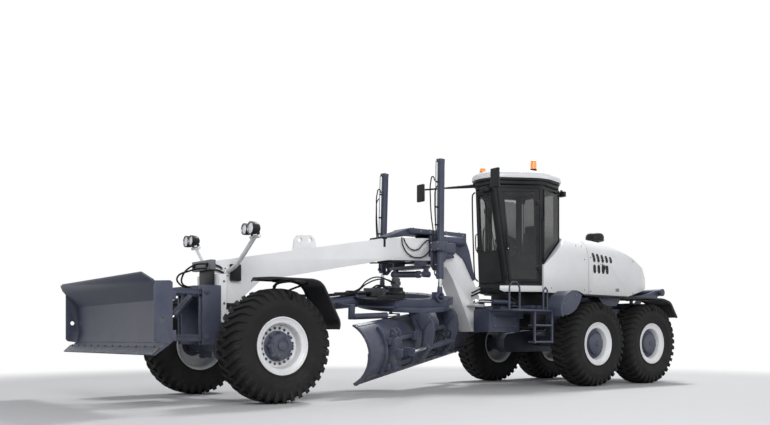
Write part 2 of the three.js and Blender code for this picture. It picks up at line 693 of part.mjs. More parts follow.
// The lift cylinder hangs between the nose bracket's upper pin and the lower links
const dozerPinY = linkPivotY;
const dozerPinZ = upperLinkZ - 10;
const dozerFootY = linkPivotY - linkLength * dozerFootShare;
const dozerFootZ = lowerLinkZ + 10;

function dozerCylinder() {
  const run = new THREE.Vector3(0, dozerFootY - dozerPinY, dozerFootZ - dozerPinZ);
  const place = new THREE.Group();
  place.position.set(0, dozerPinY, dozerPinZ);
  place.quaternion.setFromUnitVectors(new THREE.Vector3(0, 0, -1), run.clone().normalize());
  machine.add(place);
  const length = run.length();
  const tube = cut(rod([0, 0, -430], [0, 0, -50], 50, 14), bore([0, 0, -430], [0, 0, -90], dozerRodRadius));
  const eye = join(pinX(-32, 32, 0, 0, 58, 14), pinX(-dozerEarX + seat, dozerEarX - seat, 0, 0, 38));
  piece('dozer_barrel', cut(join(tube, eye), boreX(-80, 80, 0, 0, dozerPin)), navyPaint, place);
  const shaft = rod([0, 0, -length + 70], [0, 0, -165], dozerRodRadius);
  const lowEye = cut(pinX(-28, 28, 0, -length, 78, 16), pinX(-29, 29, 0, -length, 56, 16));
  piece('dozer_rod', join(shaft, lowEye), chrome, place);
}

// ---------------------------------------------------------------- rear frame

const articX = 330;
const articFrontY = 4480;
const articZ = 1475;
const articPin = 20;
const articRodRadius = 22;
const articRearX = 400;
const articRearY = 5350;

function rearFrame() {
  const low = hitchLowZ + lugPlate + running;
  const high = hitchHighZ - lugPlate - running;
  const nose = join(rod([0, pivotY, low], [0, pivotY, high], 125, 16),
    block([-110, pivotY, low], [110, 5150, high]));
  const pin = rod([0, pivotY, hitchLowZ - 15], [0, pivotY, hitchHighZ + 15], pivotPinRadius);
  const rails = [-1, 1].map((side) => {
    const x0 = side > 0 ? railX - railWidth : -railX;
    return block([x0, 5090, railLow], [x0 + railWidth, rearFrameEnd, railHigh]);
  });
  const front = block([-railX, 5090, railLow], [railX, 5200, railHigh]);
  const middle = block([-railX, 6200, railLow], [railX, 6320, railHigh - 20]);
  const tail = block([-railX, rearFrameEnd - 120, railLow], [railX, rearFrameEnd, railHigh + 140]);
  const outriggers = [5450, 5620, 6900, 8500].map((y) => block(
    [-hoodHalf + 30, y, railHigh - 60], [hoodHalf - 30, y + 90, railHigh]));
  const posts = [-1, 1].map((side) => {
    const shelf = block([side > 0 ? railX - 10 : -articRearX - 45, articRearY - 60, articZ - 75],
      [side > 0 ? articRearX + 45 : -railX + 10, articRearY + 60, articZ - 52]);
    const post = rod([side * articRearX, articRearY, articZ - 60], [side * articRearX, articRearY, articZ + 32], articPin);
    return join(shelf, post);
  });
  const hinges = [-1, 1].map((side) => join(
    block([side * hoodHingeX - 15, rearFrameEnd - 110, railHigh], [side * hoodHingeX + 15, rearFrameEnd - 30, hoodHingeZ + 35]),
    pinX(side * hoodHingeX - 55, side * hoodHingeX + 55, hoodHingeY, hoodHingeZ, hoodPin)));
  piece('rear_frame', join(nose, pin, ...rails, front, middle, tail, ...outriggers, ...posts, ...hinges), navyPaint);
}

function articulationCylinders() {
  for (const side of [1, -1]) {
    const hand = side > 0 ? 'left' : 'right';
    const rear = new THREE.Vector3(side * articRearX, articRearY, articZ);
    const run = new THREE.Vector3(side * articX, articFrontY, articZ).sub(rear);
    const place = new THREE.Group();
    place.position.copy(rear);
    place.rotation.z = Math.atan2(run.y, run.x) + Math.PI / 2;
    machine.add(place);
    const length = run.length();
    const tube = cut(rod([0, -500, 0], [0, -40, 0], 42, 14), bore([0, -500, 0], [0, -80, 0], articRodRadius));
    const head = rod([0, 0, -28], [0, 0, 28], 48, 14);
    const pinHole = bore([0, 0, -50], [0, 0, 50], articPin);
    piece(`articulation_barrel_${hand}`, cut(join(tube, head), pinHole), navyPaint, place);
    const shaft = rod([0, -length + 50, 0], [0, -330, 0], articRodRadius);
    const eye = cut(rod([0, -length, -28], [0, -length, 28], 62, 14), rod([0, -length, -29], [0, -length, 29], 42, 14));
    piece(`articulation_rod_${hand}`, join(shaft, eye), chrome, place);
  }
}

function rearAxle() {
  const y = tandemFrontY + tandemSpacing / 2;
  const axle = join(pinX(-tandemIn + seat, tandemIn - seat, y, axleHeight + 80, 140, 12),
    rod([0, y - 230, axleHeight + 80], [0, y + 230, axleHeight + 80], 230, 16),
    ...[-1, 1].map((side) => block([side * (railX - railWidth / 2) - 60, y - 130, axleHeight + 150],
      [side * (railX - railWidth / 2) + 60, y + 130, railLow - seat])));
  piece('rear_axle', axle, navyPaint);
  const caseOut = 880;
  const ends = [tandemFrontY, tandemFrontY + tandemSpacing];
  const deck = [[ends[0] - 190, axleHeight - 60], [ends[0] - 120, axleHeight - 170], [ends[1] + 120, axleHeight - 170],
    [ends[1] + 190, axleHeight - 60], [ends[1] + 190, axleHeight + 90], [ends[1] + 90, axleHeight + 190],
    [y + 250, axleHeight + 260], [y - 250, axleHeight + 260], [ends[0] - 90, axleHeight + 190],
    [ends[0] - 190, axleHeight + 90]];
  const spindles = ends.map((end) => pinX(caseOut - 5, wheelX + discInner - seat, end, axleHeight, 120, 16));
  pair('tandem_case', join(sidePlate(deck, tandemIn, caseOut), ...spindles), navyPaint);
}

function engine() {
  piece('engine_block', join(block([-360, 7120, 1500], [360, 8350, 2150]),
    block([-railX + 5, 7250, railHigh + seat], [railX - 5, 7400, 1520]),
    block([-railX + 5, 8100, railHigh + seat], [railX - 5, 8250, 1520])), castIron);
}

// Fenders over the tandem wheels, each hung on the frame's outriggers
function rearFenders() {
  const x0 = wheelX - tyreWidth / 2 - 10;
  const x1 = wheelX + tyreWidth / 2 + 2;
  const front = tandemFrontY - tyreRadius - 50;
  const end = tandemFrontY + tandemSpacing + tyreRadius;
  const outer = [[front - 240, 1180], [front - 250, 1340], [front + 40, fenderTopZ + 75], [front + 200, fenderTopZ + 85],
    [front + 420, fenderTopZ], [end - 380, fenderTopZ], [end - 120, fenderTopZ - 70], [end + 60, 1230],
    [end + 40, 1180]];
  const inner = [[end + 10, 1190], [end - 145, fenderTopZ - 95], [end - 390, fenderTopZ - fenderWall],
    [front + 410, fenderTopZ - fenderWall], [front + 190, fenderTopZ + 60], [front + 55, fenderTopZ + 50],
    [front - 215, 1330], [front - 205, 1190]];
  const shell = sidePlate([...outer, ...inner], x0, x1);
  const stays = [6900, 8500].map((y) => block([hoodHalf - 30 + seat, y + 5, fenderTopZ - 180],
    [x0 + 80, y + 85, fenderTopZ - 8]));
  pair('rear_fender', join(shell, ...stays), blackPaint);
}

function sideSteps() {
  // Left side: tank, platform, ladder and rails in one welded unit
  const tank = block([430, 4330, 950], [800, 5060, 1290]);
  const hanger = block([railX + seat, 5100, 1180], [760, 5200, 1300]);
  const deck = block([430, 4330, 1290], [1330, 5300, 1320]);
  const ladder = [4860, 5290].map((y) => block([1290, y, 760], [1325, y + 30, 1300]));
  const rungs = [770, 1045].map((z) => block([1180, 4860, z], [1330, 5320, z + 30]));
  const rail = (y0, y1, top) => bentTube([[1230, y0, 1310], [1230, y0, top], [1230, y1, top], [1230, y1, 1310]], 16, 6, 70);
  return join(tank, hanger, deck, ...ladder, ...rungs, rail(4360, 4600, 1760), rail(5180, 5280, 1700));
}

// ---------------------------------------------------------------- cab

// The plan of the cab at a distance inside its outer face
function cabPlan(inset) {
  const corners = [[cabFrontX, cabFrontY], [cabMidX, cabMidY], [cabRearX, cabRearY], [-cabRearX, cabRearY],
    [-cabMidX, cabMidY], [-cabFrontX, cabFrontY]];
  const shifted = corners.map((corner, i) => {
    const before = corners[(i + 5) % 6];
    const after = corners[(i + 1) % 6];
    const edgeIn = new THREE.Vector2(corner[0] - before[0], corner[1] - before[1]).normalize();
    const edgeOut = new THREE.Vector2(after[0] - corner[0], after[1] - corner[1]).normalize();
    const normal = new THREE.Vector2(-edgeIn.y - edgeOut.y, edgeIn.x + edgeOut.x).normalize();
    const reach = inset / (normal.x * -edgeOut.y + normal.y * edgeOut.x);
    return [corner[0] + normal.x * reach, corner[1] + normal.y * reach];
  });
  return shifted;
}

// Leans the front of the cab: its top goes forward and inward along the doors' own planes, its foot goes
// back and outward, and the doors' rear edges stay
function leaning(body) {
  const middle = (cabFloorZ + cabTopZ) / 2;
  const inward = (cabMidX - cabFrontX) / (cabMidY - cabFrontY);
  const mesh = body.getMesh();
  const spots = Float32Array.from(mesh.vertProperties);
  for (let i = 0; i < spots.length; i += 3) {
    const [x, y, z] = spots.slice(i, i + 3);
    const forward = THREE.MathUtils.clamp((cabMidY - y) / (cabMidY - cabFrontY), 0, 1.2);
    const level = THREE.MathUtils.clamp((z - middle) / (cabTopZ - cabFloorZ), -0.6, 0.6);
    const halfWidth = cabMidX - inward * (cabMidY - y);
    const move = cabLean * 2 * forward * level;
    spots[i] -= move * inward * THREE.MathUtils.clamp(x / halfWidth, -1, 1);
    spots[i + 1] -= move;
  }
  return new wasm.Manifold(new wasm.Mesh({ numProp: 3, vertProperties: spots, triVerts: mesh.triVerts }));
}

// A slab along one side of the cab's plan, between two fractions of that side
function cabSide(index, from, to, z0, z1, outerInset, wall) {
  const outer = cabPlan(outerInset);
  const inner = cabPlan(outerInset + wall);
  const next = (index + 1) % 6;
  const mix = (line, share) => [line[index][0] + (line[next][0] - line[index][0]) * share,
    line[index][1] + (line[next][1] - line[index][1]) * share];
  return planPlate([mix(outer, from), mix(outer, to), mix(inner, to), mix(inner, from)], z0, z1);
}

const doorHingeOff = 16; // from the cab's outer face to the hinge axis
const doorHingeBack = 55; // from the cab's middle corner to the hinge axis
const doorHingeLevels = [2050, 3200];
const doorFrom = 0.1;
const doorTo = 0.93;
const doorLowZ = cabFloorZ + 30;
const doorHighZ = cabTopZ - 60;

// Half of each door hinge: the upper half on the door, the lower half on the cab's middle post
function doorHinges(onDoor) {
  const along = new THREE.Vector2(cabMidX - cabFrontX, cabMidY - cabFrontY).normalize();
  const out = new THREE.Vector2(along.y, -along.x);
  const spot = (back, off) => [cabMidX - along.x * back + out.x * off, cabMidY - along.y * back + out.y * off];
  return doorHingeLevels.map((z) => {
    const [x, y] = spot(doorHingeBack, doorHingeOff);
    if (onDoor) {
      const leaf = planPlate([spot(120, -6), spot(120, 21), spot(doorHingeBack, 21), spot(68, -6)], z, z + 90);
      return join(leaf, rod([x, y, z], [x, y, z + 90], 13, 10));
    }
    const leaf = planPlate([spot(36, -6), spot(doorHingeBack, 21), spot(10, 21), spot(10, -6)], z - 60, z - seat);
    return join(leaf, rod([x, y, z - 60], [x, y, z - seat], 13, 10));
  });
}

function cab() {
  const ringLow = cut(planPlate(cabPlan(0), cabFloorZ + seat, cabFloorZ + 26),
    planPlate(cabPlan(cabWall * 2), cabFloorZ - 1, cabFloorZ + 30));
  const ringHigh = cut(planPlate(cabPlan(0), cabTopZ - 55, cabTopZ), planPlate(cabPlan(cabWall * 2), cabTopZ - 56, cabTopZ + 1));
  const z0 = cabFloorZ + 20;
  const z1 = cabTopZ - 50;
  const posts = [
    cabSide(0, 0, doorFrom - 0.012, z0, z1, 0, cabWall), cabSide(0, doorTo + 0.012, 1, z0, z1, 0, cabWall),
    cabSide(1, 0, 0.1, z0, z1, 0, cabWall), cabSide(1, 0.9, 1, z0, z1, 0, cabWall),
    cabSide(2, 0, 0.08, z0, z1, 0, cabWall), cabSide(2, 0.92, 1, z0, z1, 0, cabWall),
    cabSide(3, 0, 0.1, z0, z1, 0, cabWall), cabSide(3, 0.9, 1, z0, z1, 0, cabWall),
    cabSide(4, 0, 0.07 - 0.012, z0, z1, 0, cabWall), cabSide(4, 0.9 + 0.012, 1, z0, z1, 0, cabWall),
    cabSide(5, 0, 0.09, z0, z1, 0, cabWall), cabSide(5, 0.91, 1, z0, z1, 0, cabWall),
  ];
  const lowWalls = [cabSide(1, 0, 1, z0, 2100, 0, cabWall), cabSide(2, 0, 1, z0, 2500, 0, cabWall),
    cabSide(3, 0, 1, z0, 2100, 0, cabWall)];
  const hinges = doorHinges(false);
  const hingeHalves = [...hinges, ...hinges.map(mirrored)];
  piece('cab_frame', join(leaning(join(ringLow, ringHigh, ...posts, ...lowWalls)), ...hingeHalves), blackPaint);

  const sillLow = railHigh + 240;
  const floor = join(planPlate(cabPlan(-12), sillLow, cabFloorZ),
    block([-railX, 5480, railHigh + seat], [railX, 6300, sillLow + 5]));
  piece('cab_floor', leaning(floor), whitePaint);

  const brim = planPlate(cabPlan(-60), cabTopZ + seat, cabTopZ + 40);
  const cap = planPlate(cabPlan(-66), cabTopZ + 36, cabTopZ + 150);
  const crown = planPlate(cabPlan(60), cabTopZ + 140, cabTopZ + roofHeight);
  const beacons = [[-180, 5150], [380, 5880]].map(([x, y]) => rod([x, y, cabTopZ + 140], [x, y, 4070], 62, 14));
  piece('cab_roof', leaning(join(brim, cap, crown, ...beacons)), whitePaint);

  const paneLow = cabFloorZ + 26 + seat;
  const paneHigh = cabTopZ - 55 - seat;
  const share = 0.02; // side clearance of each pane in its frame
  piece('windshield', leaning(cabSide(5, 0.09 + share, 0.91 - share, paneLow, paneHigh, 18, 8)), glass);
  piece('rear_window', cabSide(2, 0.08 + share, 0.92 - share, 2500 + seat, paneHigh, 18, 8), glass);

  const door = cut(cabSide(0, doorFrom, doorTo, doorLowZ, doorHighZ, 0, cabWall - 5),
    cabSide(0, doorFrom + 0.11, doorTo - 0.09, doorLowZ + 90, doorHighZ - 80, -40, cabWall + 120));
  pair('cab_door', join(leaning(door), ...doorHinges(true)), blackPaint);

  const cushion = join(block([-250, 5900, 2250], [250, 6330, 2370]), block([-240, 6250, 2330], [240, 6370, 3000]),
    block([-150, 5980, cabFloorZ + seat], [150, 6280, 2260]));
  piece('operator_seat', cushion, trim);
  const column = join(block([-110, 5420, cabFloorZ + seat], [110, 5560, 2500]),
    rod([0, 5520, 2440], [0, 5600, 2620], 30, 10), rod([0, 5590, 2600], [0, 5610, 2640], 190, 20));
  piece('control_console', column, trim);
}

// ---------------------------------------------------------------- cowl and hood

// Half-width of the hood's section at a height, with its shoulders rounded
function hoodSection(inset) {
  const half = hoodHalf - inset;
  const top = hoodHighZ - inset;
  return [[-half, hoodLowZ - 5], [half, hoodLowZ - 5], [half, top - 420], [half - 60, top - 210], [half - 190, top - 70],
    [half - 360, top], [-half + 360, top], [-half + 190, top - 70], [-half + 60, top - 210], [-half, top - 420]];
}

// Side view of the tail: flat top that falls away to a steep end
function hoodSide(inset) {
  return [[hoodSplitY - 2000, hoodLowZ - 6], [hoodEndY - inset, hoodLowZ - 6], [hoodEndY - inset, hoodLowZ + 180],
    [hoodEndY - 60 - inset, 2060 - inset], [8780, 2230 - inset], [8200, 2470 - inset], [7600, 2660 - inset],
    [7150, hoodHighZ - inset], [6500, hoodHighZ - inset + 1], [hoodSplitY - 2000, hoodHighZ - inset + 1]];
}

// Plan of the tail: the end narrows
function hoodPlan(inset) {
  const half = hoodHalf - inset;
  return [[-half - 1, 4900], [half + 1, 4900], [half + 1, 8250], [half - 80, 8750], [half - 260, hoodEndY - 40 - inset],
    [half - 420, hoodEndY - inset + 1], [-half + 420, hoodEndY - inset + 1], [-half + 260, hoodEndY - 40 - inset],
    [-half + 80, 8750], [-half - 1, 8250]];
}

function hoodForm(inset, y0, y1) {
  return crossPlate(hoodSection(inset), y0, y1)
    .intersect(sidePlate(hoodSide(inset), -hoodHalf - 5, hoodHalf + 5))
    .intersect(planPlate(hoodPlan(inset), hoodLowZ - 10, hoodHighZ + 10));
}

function cowl() {
  const form = hoodForm(0, 5740, hoodSplitY - hoodSweep - moving);
  const slope = sidePlate([[5600, 2150], [5760, 2150], [6470, 2660], [6560, 2760], [5600, 2760]], -900, 900);
  const nook = planPlate(cabPlan(-30), 1500, 3000);
  const footing = block([-railX, 6560, railHigh + seat], [railX, 6900, hoodLowZ + 20]);
  piece('rear_cowl', join(cut(form, slope, leaning(nook)), footing), whitePaint);
}

function hood() {
  const outer = hoodForm(0, hoodSplitY, hoodEndY + 5);
  const inner = hoodForm(hoodWall, hoodSplitY - 5, hoodEndY + 5);
  const slots = [];
  for (let i = 0; i < 5; i += 1) {
    const y = 7120 + i * 125;
    slots.push(block([-hoodHalf - 5, y, 2270], [hoodHalf + 5, y + 50, 2440 - i * 12]));
    if (i < 4) slots.push(block([-hoodHalf - 5, y + 15, 2060], [hoodHalf + 5, y + 65, 2220]));
  }
  const under = sidePlate([[6900, 1500], [9400, 1500], [9400, 1840], [9000, 1840], [8200, hoodLowZ],
    [6900, hoodLowZ]], -900, 900);
  const stem = rod([0, 8120, 2440], [0, 8120, 2790], 80, 14);
  const bowl = rod([0, 8120, 2780], [0, 8120, 2950], 175, 20);
  const lugs = [-1, 1].map((side) => {
    const x0 = side > 0 ? hoodHingeX + 22 : -hoodHingeX - 46;
    const lug = join(block([x0, hoodHingeY, hoodHingeZ - 32], [x0 + 24, hoodEndY - 15, hoodHingeZ + 32]),
      pinX(x0, x0 + 24, hoodHingeY, hoodHingeZ, 32));
    return cut(lug, boreX(x0, x0 + 24, hoodHingeY, hoodHingeZ, hoodPin));
  });
  piece('engine_hood', join(cut(outer, inner, under, ...slots), cut(join(stem, bowl), inner), ...lugs), whitePaint);
}

function bumper() {
  const bar = pinX(-760, 760, bumperY, bumperZ, bumperRadius, 14);
  const foot = rearFrameEnd + seat;
  const stays = [-1, 1].map((side) => sidePlate([[foot, 1300], [bumperY + 20, bumperZ - 60], [bumperY + 20, bumperZ],
    [bumperY - 30, bumperZ], [foot, 1540]], side * 280 - 30, side * 280 + 30));
  piece('rear_bumper', join(bar, ...stays), navyPaint);
}

// ---------------------------------------------------------------- assembly

wheels();
frontAxle();
knuckles();
frontFenders();
mainFrame();
liftSaddle();
headlamps();
liftCylinders();
const hanging = drawbarGroup();
drawbar(hanging);
const turning = circleGroup(hanging);
circle(turning);
gradingBlade(turning);
noseBracket();
linkPair('dozer_lower_link', lowerLinkZ, 90, [dozerFootY, dozerFootZ, dozerPin]);
linkPair('dozer_upper_link', upperLinkZ, 70, [linkPivotY - linkLength * 0.66, upperLinkZ, 30]);
dozerBlade();
dozerCylinder();
rearFrame();
articulationCylinders();
rearAxle();
engine();
rearFenders();
piece('side_steps_left', sideSteps(), navyPaint);
cab();
cowl();
hood();
bumper();

// The origin moves from the front axle to the middle of the machine's length
const frontEnd = -1900;
const rearEnd = bumperY + bumperRadius;
machine.position.y = -(frontEnd + rearEnd) / 2;

export default machine;
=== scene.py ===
import json
import math

import bmesh
import bpy
from mathutils import Matrix, Vector

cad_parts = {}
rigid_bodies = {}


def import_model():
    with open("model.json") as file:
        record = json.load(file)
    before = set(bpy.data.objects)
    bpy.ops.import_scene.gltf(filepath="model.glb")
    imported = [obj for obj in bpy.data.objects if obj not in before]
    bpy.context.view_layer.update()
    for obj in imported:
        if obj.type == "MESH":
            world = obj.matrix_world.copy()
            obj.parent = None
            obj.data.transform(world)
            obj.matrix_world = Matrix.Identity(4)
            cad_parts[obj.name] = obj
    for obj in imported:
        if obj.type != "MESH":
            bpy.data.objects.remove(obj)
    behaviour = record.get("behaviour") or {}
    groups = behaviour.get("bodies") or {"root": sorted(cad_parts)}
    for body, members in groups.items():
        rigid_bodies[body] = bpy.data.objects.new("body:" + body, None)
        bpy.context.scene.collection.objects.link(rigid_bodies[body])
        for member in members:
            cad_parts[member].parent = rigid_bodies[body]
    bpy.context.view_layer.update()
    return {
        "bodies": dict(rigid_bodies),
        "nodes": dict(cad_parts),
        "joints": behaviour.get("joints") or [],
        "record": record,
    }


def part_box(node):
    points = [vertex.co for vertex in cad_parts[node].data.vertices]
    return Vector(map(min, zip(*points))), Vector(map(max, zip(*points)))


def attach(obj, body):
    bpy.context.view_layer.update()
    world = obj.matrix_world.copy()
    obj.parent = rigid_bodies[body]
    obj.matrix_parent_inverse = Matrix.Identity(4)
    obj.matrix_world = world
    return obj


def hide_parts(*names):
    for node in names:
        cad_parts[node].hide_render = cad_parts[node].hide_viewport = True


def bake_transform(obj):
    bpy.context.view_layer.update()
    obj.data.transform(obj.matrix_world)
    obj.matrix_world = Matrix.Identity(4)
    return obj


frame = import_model()
scene = bpy.context.scene
print("frame loaded")

# Metres throughout: the front of the machine faces -Y, its left side is +X, the ground is z = 0.

# camera

view = {"place": (10.634, -9.277, 0.848), "forward": (-0.7882, 0.6154, 0.0), "lens": 39.0, "rise": 0.163}


def makeCamera():
    bpy.ops.object.camera_add(location=view["place"])
    camera = bpy.context.object
    camera.name = "camera"
    camera.rotation_euler = Vector(view["forward"]).to_track_quat("-Z", "Y").to_euler()
    camera.data.lens = view["lens"]
    camera.data.sensor_width = 36
    camera.data.shift_y = view["rise"]
    camera.data.clip_end = 200
    scene.camera = camera


makeCamera()


# modelling helpers

def deselect():
    bpy.ops.object.select_all(action="DESELECT")


def pick(*pieces):
    deselect()
    for piece in pieces:
        piece.select_set(True)
    bpy.context.view_layer.objects.active = pieces[0]


def drop(piece):
    pick(piece)
    bpy.ops.object.delete()


def settle():
    # the origin back to the middle of the frame, with turn and scale in the mesh
    bpy.ops.object.transform_apply(location=True, rotation=True, scale=True)


def choose(test, kind="FACE"):
    # in edit mode, selects the faces, edges or corners that pass the test, and nothing else
    bpy.ops.mesh.select_mode(type=kind)
    bpy.ops.mesh.select_all(action="DESELECT")
    shape = bmesh.from_edit_mesh(bpy.context.object.data)
    parts = {"FACE": shape.faces, "EDGE": shape.edges, "VERT": shape.verts}[kind]
    for part in parts:
        if test(part):
            part.select_set(True)
    shape.select_flush_mode()
    bmesh.update_edit_mesh(bpy.context.object.data)


def everything():
    bpy.ops.mesh.select_all(action="SELECT")


def middle(edge):
    return (edge.verts[0].co + edge.verts[1].co) / 2


def along(edge, axis):
    # true where an edge runs along an axis, 0 to 2
    run = edge.verts[1].co - edge.verts[0].co
    return abs(run[axis]) > 0.97 * run.length


def edit():
    bpy.ops.object.mode_set(mode="EDIT")
    bpy.ops.mesh.select_mode(type="VERT")


def done():
    bpy.ops.object.mode_set(mode="OBJECT")


def modify(piece, kind, **settings):
    pick(piece)
    change = piece.modifiers.new(kind.lower(), kind)
    for key, value in settings.items():
        setattr(change, key, value)
    bpy.ops.object.modifier_apply(modifier=change.name)


def cut(piece, tool, operation="DIFFERENCE"):
    # cuts the tool out of the piece, or joins it on, and takes the tool away
    modify(piece, "BOOLEAN", operation=operation, object=tool, solver="EXACT")
    drop(tool)


def soften(piece, width, segments=2, angle=30):
    # rounded edges that catch the light
    modify(piece, "BEVEL", width=width, segments=segments, limit_method="ANGLE", angle_limit=math.radians(angle),
            harden_normals=False, miter_outer="MITER_ARC")


def smooth(piece, angle=35):
    pick(piece)
    bpy.ops.object.shade_smooth_by_angle(angle=math.radians(angle))


def drawn(places):
    # a line of edges drawn from place to place; edit mode stays on
    deselect()
    bpy.ops.mesh.primitive_plane_add(size=0.01, location=places[0])
    piece = bpy.context.object
    settle()
    edit()
    bpy.ops.mesh.merge(type="CENTER")
    for here, there in zip(places, places[1:]):
        bpy.ops.mesh.extrude_region_move(TRANSFORM_OT_translate={"value": there - here})
    return piece


def faceOut():
    # in edit mode, turns every face of the mesh to look outwards
    everything()
    bpy.ops.mesh.normals_make_consistent(inside=False)


def slab(start, end, bevel=0.004, segments=2):
    # a box between two opposite corners, given in either order
    low, high = Vector(tuple(map(min, start, end))), Vector(tuple(map(max, start, end)))
    deselect()
    bpy.ops.mesh.primitive_cube_add(size=1, location=(low + high) / 2, scale=high - low)
    piece = bpy.context.object
    settle()
    if bevel:
        edit()
        everything()
        bpy.ops.mesh.bevel(offset=bevel, segments=segments, affect="EDGES")
        done()
    smooth(piece)
    return piece


def bar(start, end, radius, sides=32, bevel=0.003, tip=None):
    # a round bar, its end edges broken; tip gives a second radius for a taper
    start, end = Vector(start), Vector(end)
    run = end - start
    deselect()
    tip = radius if tip is None else tip
    bpy.ops.mesh.primitive_cone_add(vertices=sides, radius1=radius, radius2=tip, depth=run.length,
            location=(start + end) / 2, rotation=run.to_track_quat("Z", "Y").to_euler())
    piece = bpy.context.object
    settle()
    if bevel:
        unit = run.normalized()
        edit()
        choose(lambda e: abs((e.verts[1].co - e.verts[0].co).normalized().dot(unit)) < 0.1
                and (len(e.link_faces[0].verts) > 4 or len(e.link_faces[1].verts) > 4), "EDGE")
        bpy.ops.mesh.bevel(offset=bevel, segments=2, affect="EDGES")
        done()
    smooth(piece)
    return piece


def plate(points, axis, start, end, bevel=0.004, segments=2, corners=None):
    # an outline drawn corner by corner and extruded along an axis: 0 takes (y, z), 1 (x, z), 2 (x, y);
    # corners rounds the edges that run along the axis first
    start, end = sorted((start, end))

    def spot(a, b):
        place = [a, b]
        place.insert(axis, start)
        return Vector(place)

    piece = drawn([spot(*point) for point in points])
    everything()
    bpy.ops.mesh.edge_face_add()
    run = Vector((0, 0, 0))
    run[axis] = end - start
    bpy.ops.mesh.extrude_region_move(TRANSFORM_OT_translate={"value": run})
    faceOut()
    if corners:
        choose(lambda e: along(e, axis), "EDGE")
        bpy.ops.mesh.bevel(offset=corners, segments=6, affect="EDGES", clamp_overlap=True)
    done()
    if bevel:
        soften(piece, bevel, segments)
    smooth(piece)
    return piece


def turned(profile, centre, axis, steps=64, angle=35):
    # a profile of (radius, along the axis) drawn point by point and spun round the axis;
    # a profile that starts on the axis ends on it, and any other is closed
    axis = Vector(axis).normalized()
    side = axis.orthogonal().normalized()
    centre = Vector(centre)

    def spot(radius, run):
        return centre + side * radius + axis * run

    places = [spot(*point) for point in profile]
    piece = drawn(places + places[:1] if profile[0][0] else places)
    everything()
    bpy.ops.mesh.remove_doubles(threshold=1e-5)
    everything()
    bpy.ops.mesh.spin(steps=steps, angle=math.tau, center=centre, axis=axis)
    everything()
    bpy.ops.mesh.remove_doubles(threshold=1e-5)
    bpy.ops.mesh.normals_make_consistent(inside=False)
    done()
    smooth(piece, angle)
    return piece


def hose(points, radius, sides=8):
    # a smooth tube through the points
    deselect()
    bpy.ops.curve.primitive_bezier_curve_add()
    piece = bpy.context.object
    line = piece.data
    line.splines.clear()
    run = line.splines.new("BEZIER")
    run.bezier_points.add(len(points) - 1)
    for knot, place in zip(run.bezier_points, points):
        knot.co = place
        knot.handle_left_type = knot.handle_right_type = "AUTO"
    line.dimensions = "3D"
    line.bevel_depth = radius
    line.bevel_resolution = max(1, sides // 4 - 1)
    line.resolution_u = 8
    line.use_fill_caps = True
    piece.location = (0, 0, 0)
    bpy.ops.object.convert(target="MESH")
    piece = bpy.context.object
    edit()
    everything()
    bpy.ops.mesh.remove_doubles(threshold=1e-5)
    bpy.ops.mesh.normals_make_consistent(inside=False)
    done()
    smooth(piece, 60)
    return piece


def tube(points, radius, sides=16):
    # a pipe of straight runs with tight bends: two knots stand close to each inner corner
    points = [Vector(point) for point in points]
    bend = radius * 3
    knots = [points[0]]
    for before, here, after in zip(points, points[1:], points[2:]):
        inward = (before - here).normalized() * bend
        outward = (after - here).normalized() * bend
        knots += [here + inward, here + (inward + outward) * 0.28, here + outward]
    return hose(knots + [points[-1]], radius, sides)


def together(*pieces):
    pick(*pieces)
    if len(pieces) > 1:
        bpy.ops.object.join()
    return bpy.context.object


def copied(piece, move=(0, 0, 0), mirror=False, turn=0, axis="Z", about=(0, 0, 0)):
    # a copy with a mesh of its own, mirrored to the other side, turned about a point or moved
    pick(piece)
    bpy.ops.object.duplicate(linked=False)
    twin = bpy.context.object
    about = Vector(about)
    change = Matrix.Translation(Vector(move) + about) @ Matrix.Rotation(turn, 4, axis) @ Matrix.Translation(-about)
    if mirror:
        change = Matrix.Scale(-1, 4, (1, 0, 0)) @ change
    twin.matrix_world = change @ twin.matrix_world
    settle()
    if mirror:
        edit()
        everything()
        bpy.ops.mesh.flip_normals()
        done()
    return twin


def refined(node, bevel=0.005, segments=2):
    # a copy of one of the frame's own solids with its facets merged and its edges rounded
    pick(frame["nodes"][node])
    bpy.ops.object.duplicate(linked=False)
    twin = bpy.context.object
    edit()
    everything()
    bpy.ops.mesh.remove_doubles(threshold=1e-4)
    bpy.ops.mesh.dissolve_limited(angle_limit=math.radians(0.6))
    done()
    soften(twin, bevel, segments)
    smooth(twin)
    return twin


def boltHeads(places, outward, size=0.012, collar=True):
    # one hexagon head on its washer, copied to every place
    outward = Vector(outward).normalized()
    places = [Vector(place) for place in places]
    first = places[0]
    head = bar(first, first + outward * size * 0.9, size, 6, size * 0.12)
    if collar:
        head = together(head, bar(first - outward * 0.002, first + outward * size * 0.22, size * 1.45, 14, 0))
    heads = [head]
    for place in places[1:]:
        heads.append(copied(head, place - first))
    return together(*heads)


def ringPlaces(centre, axis, radius, count, phase=0.0):
    axis = Vector(axis).normalized()
    side = axis.orthogonal().normalized()
    other = axis.cross(side)
    angles = [math.tau * i / count + phase for i in range(count)]
    return [Vector(centre) + (side * math.cos(a) + other * math.sin(a)) * radius for a in angles]


def rowPlaces(start, end, count):
    start, end = Vector(start), Vector(end)
    return [start + (end - start) * i / (count - 1) for i in range(count)]


def shown(piece, name, body, material, *replaced):
    # names a finished piece, gives it its finish and says what it rides on
    piece.name = piece.data.name = name
    piece.data.materials.clear()
    piece.data.materials.append(material)
    for face in piece.data.polygons:
        face.material_index = 0
    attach(piece, body)
    if replaced:
        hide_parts(*replaced)
    return piece


# materials

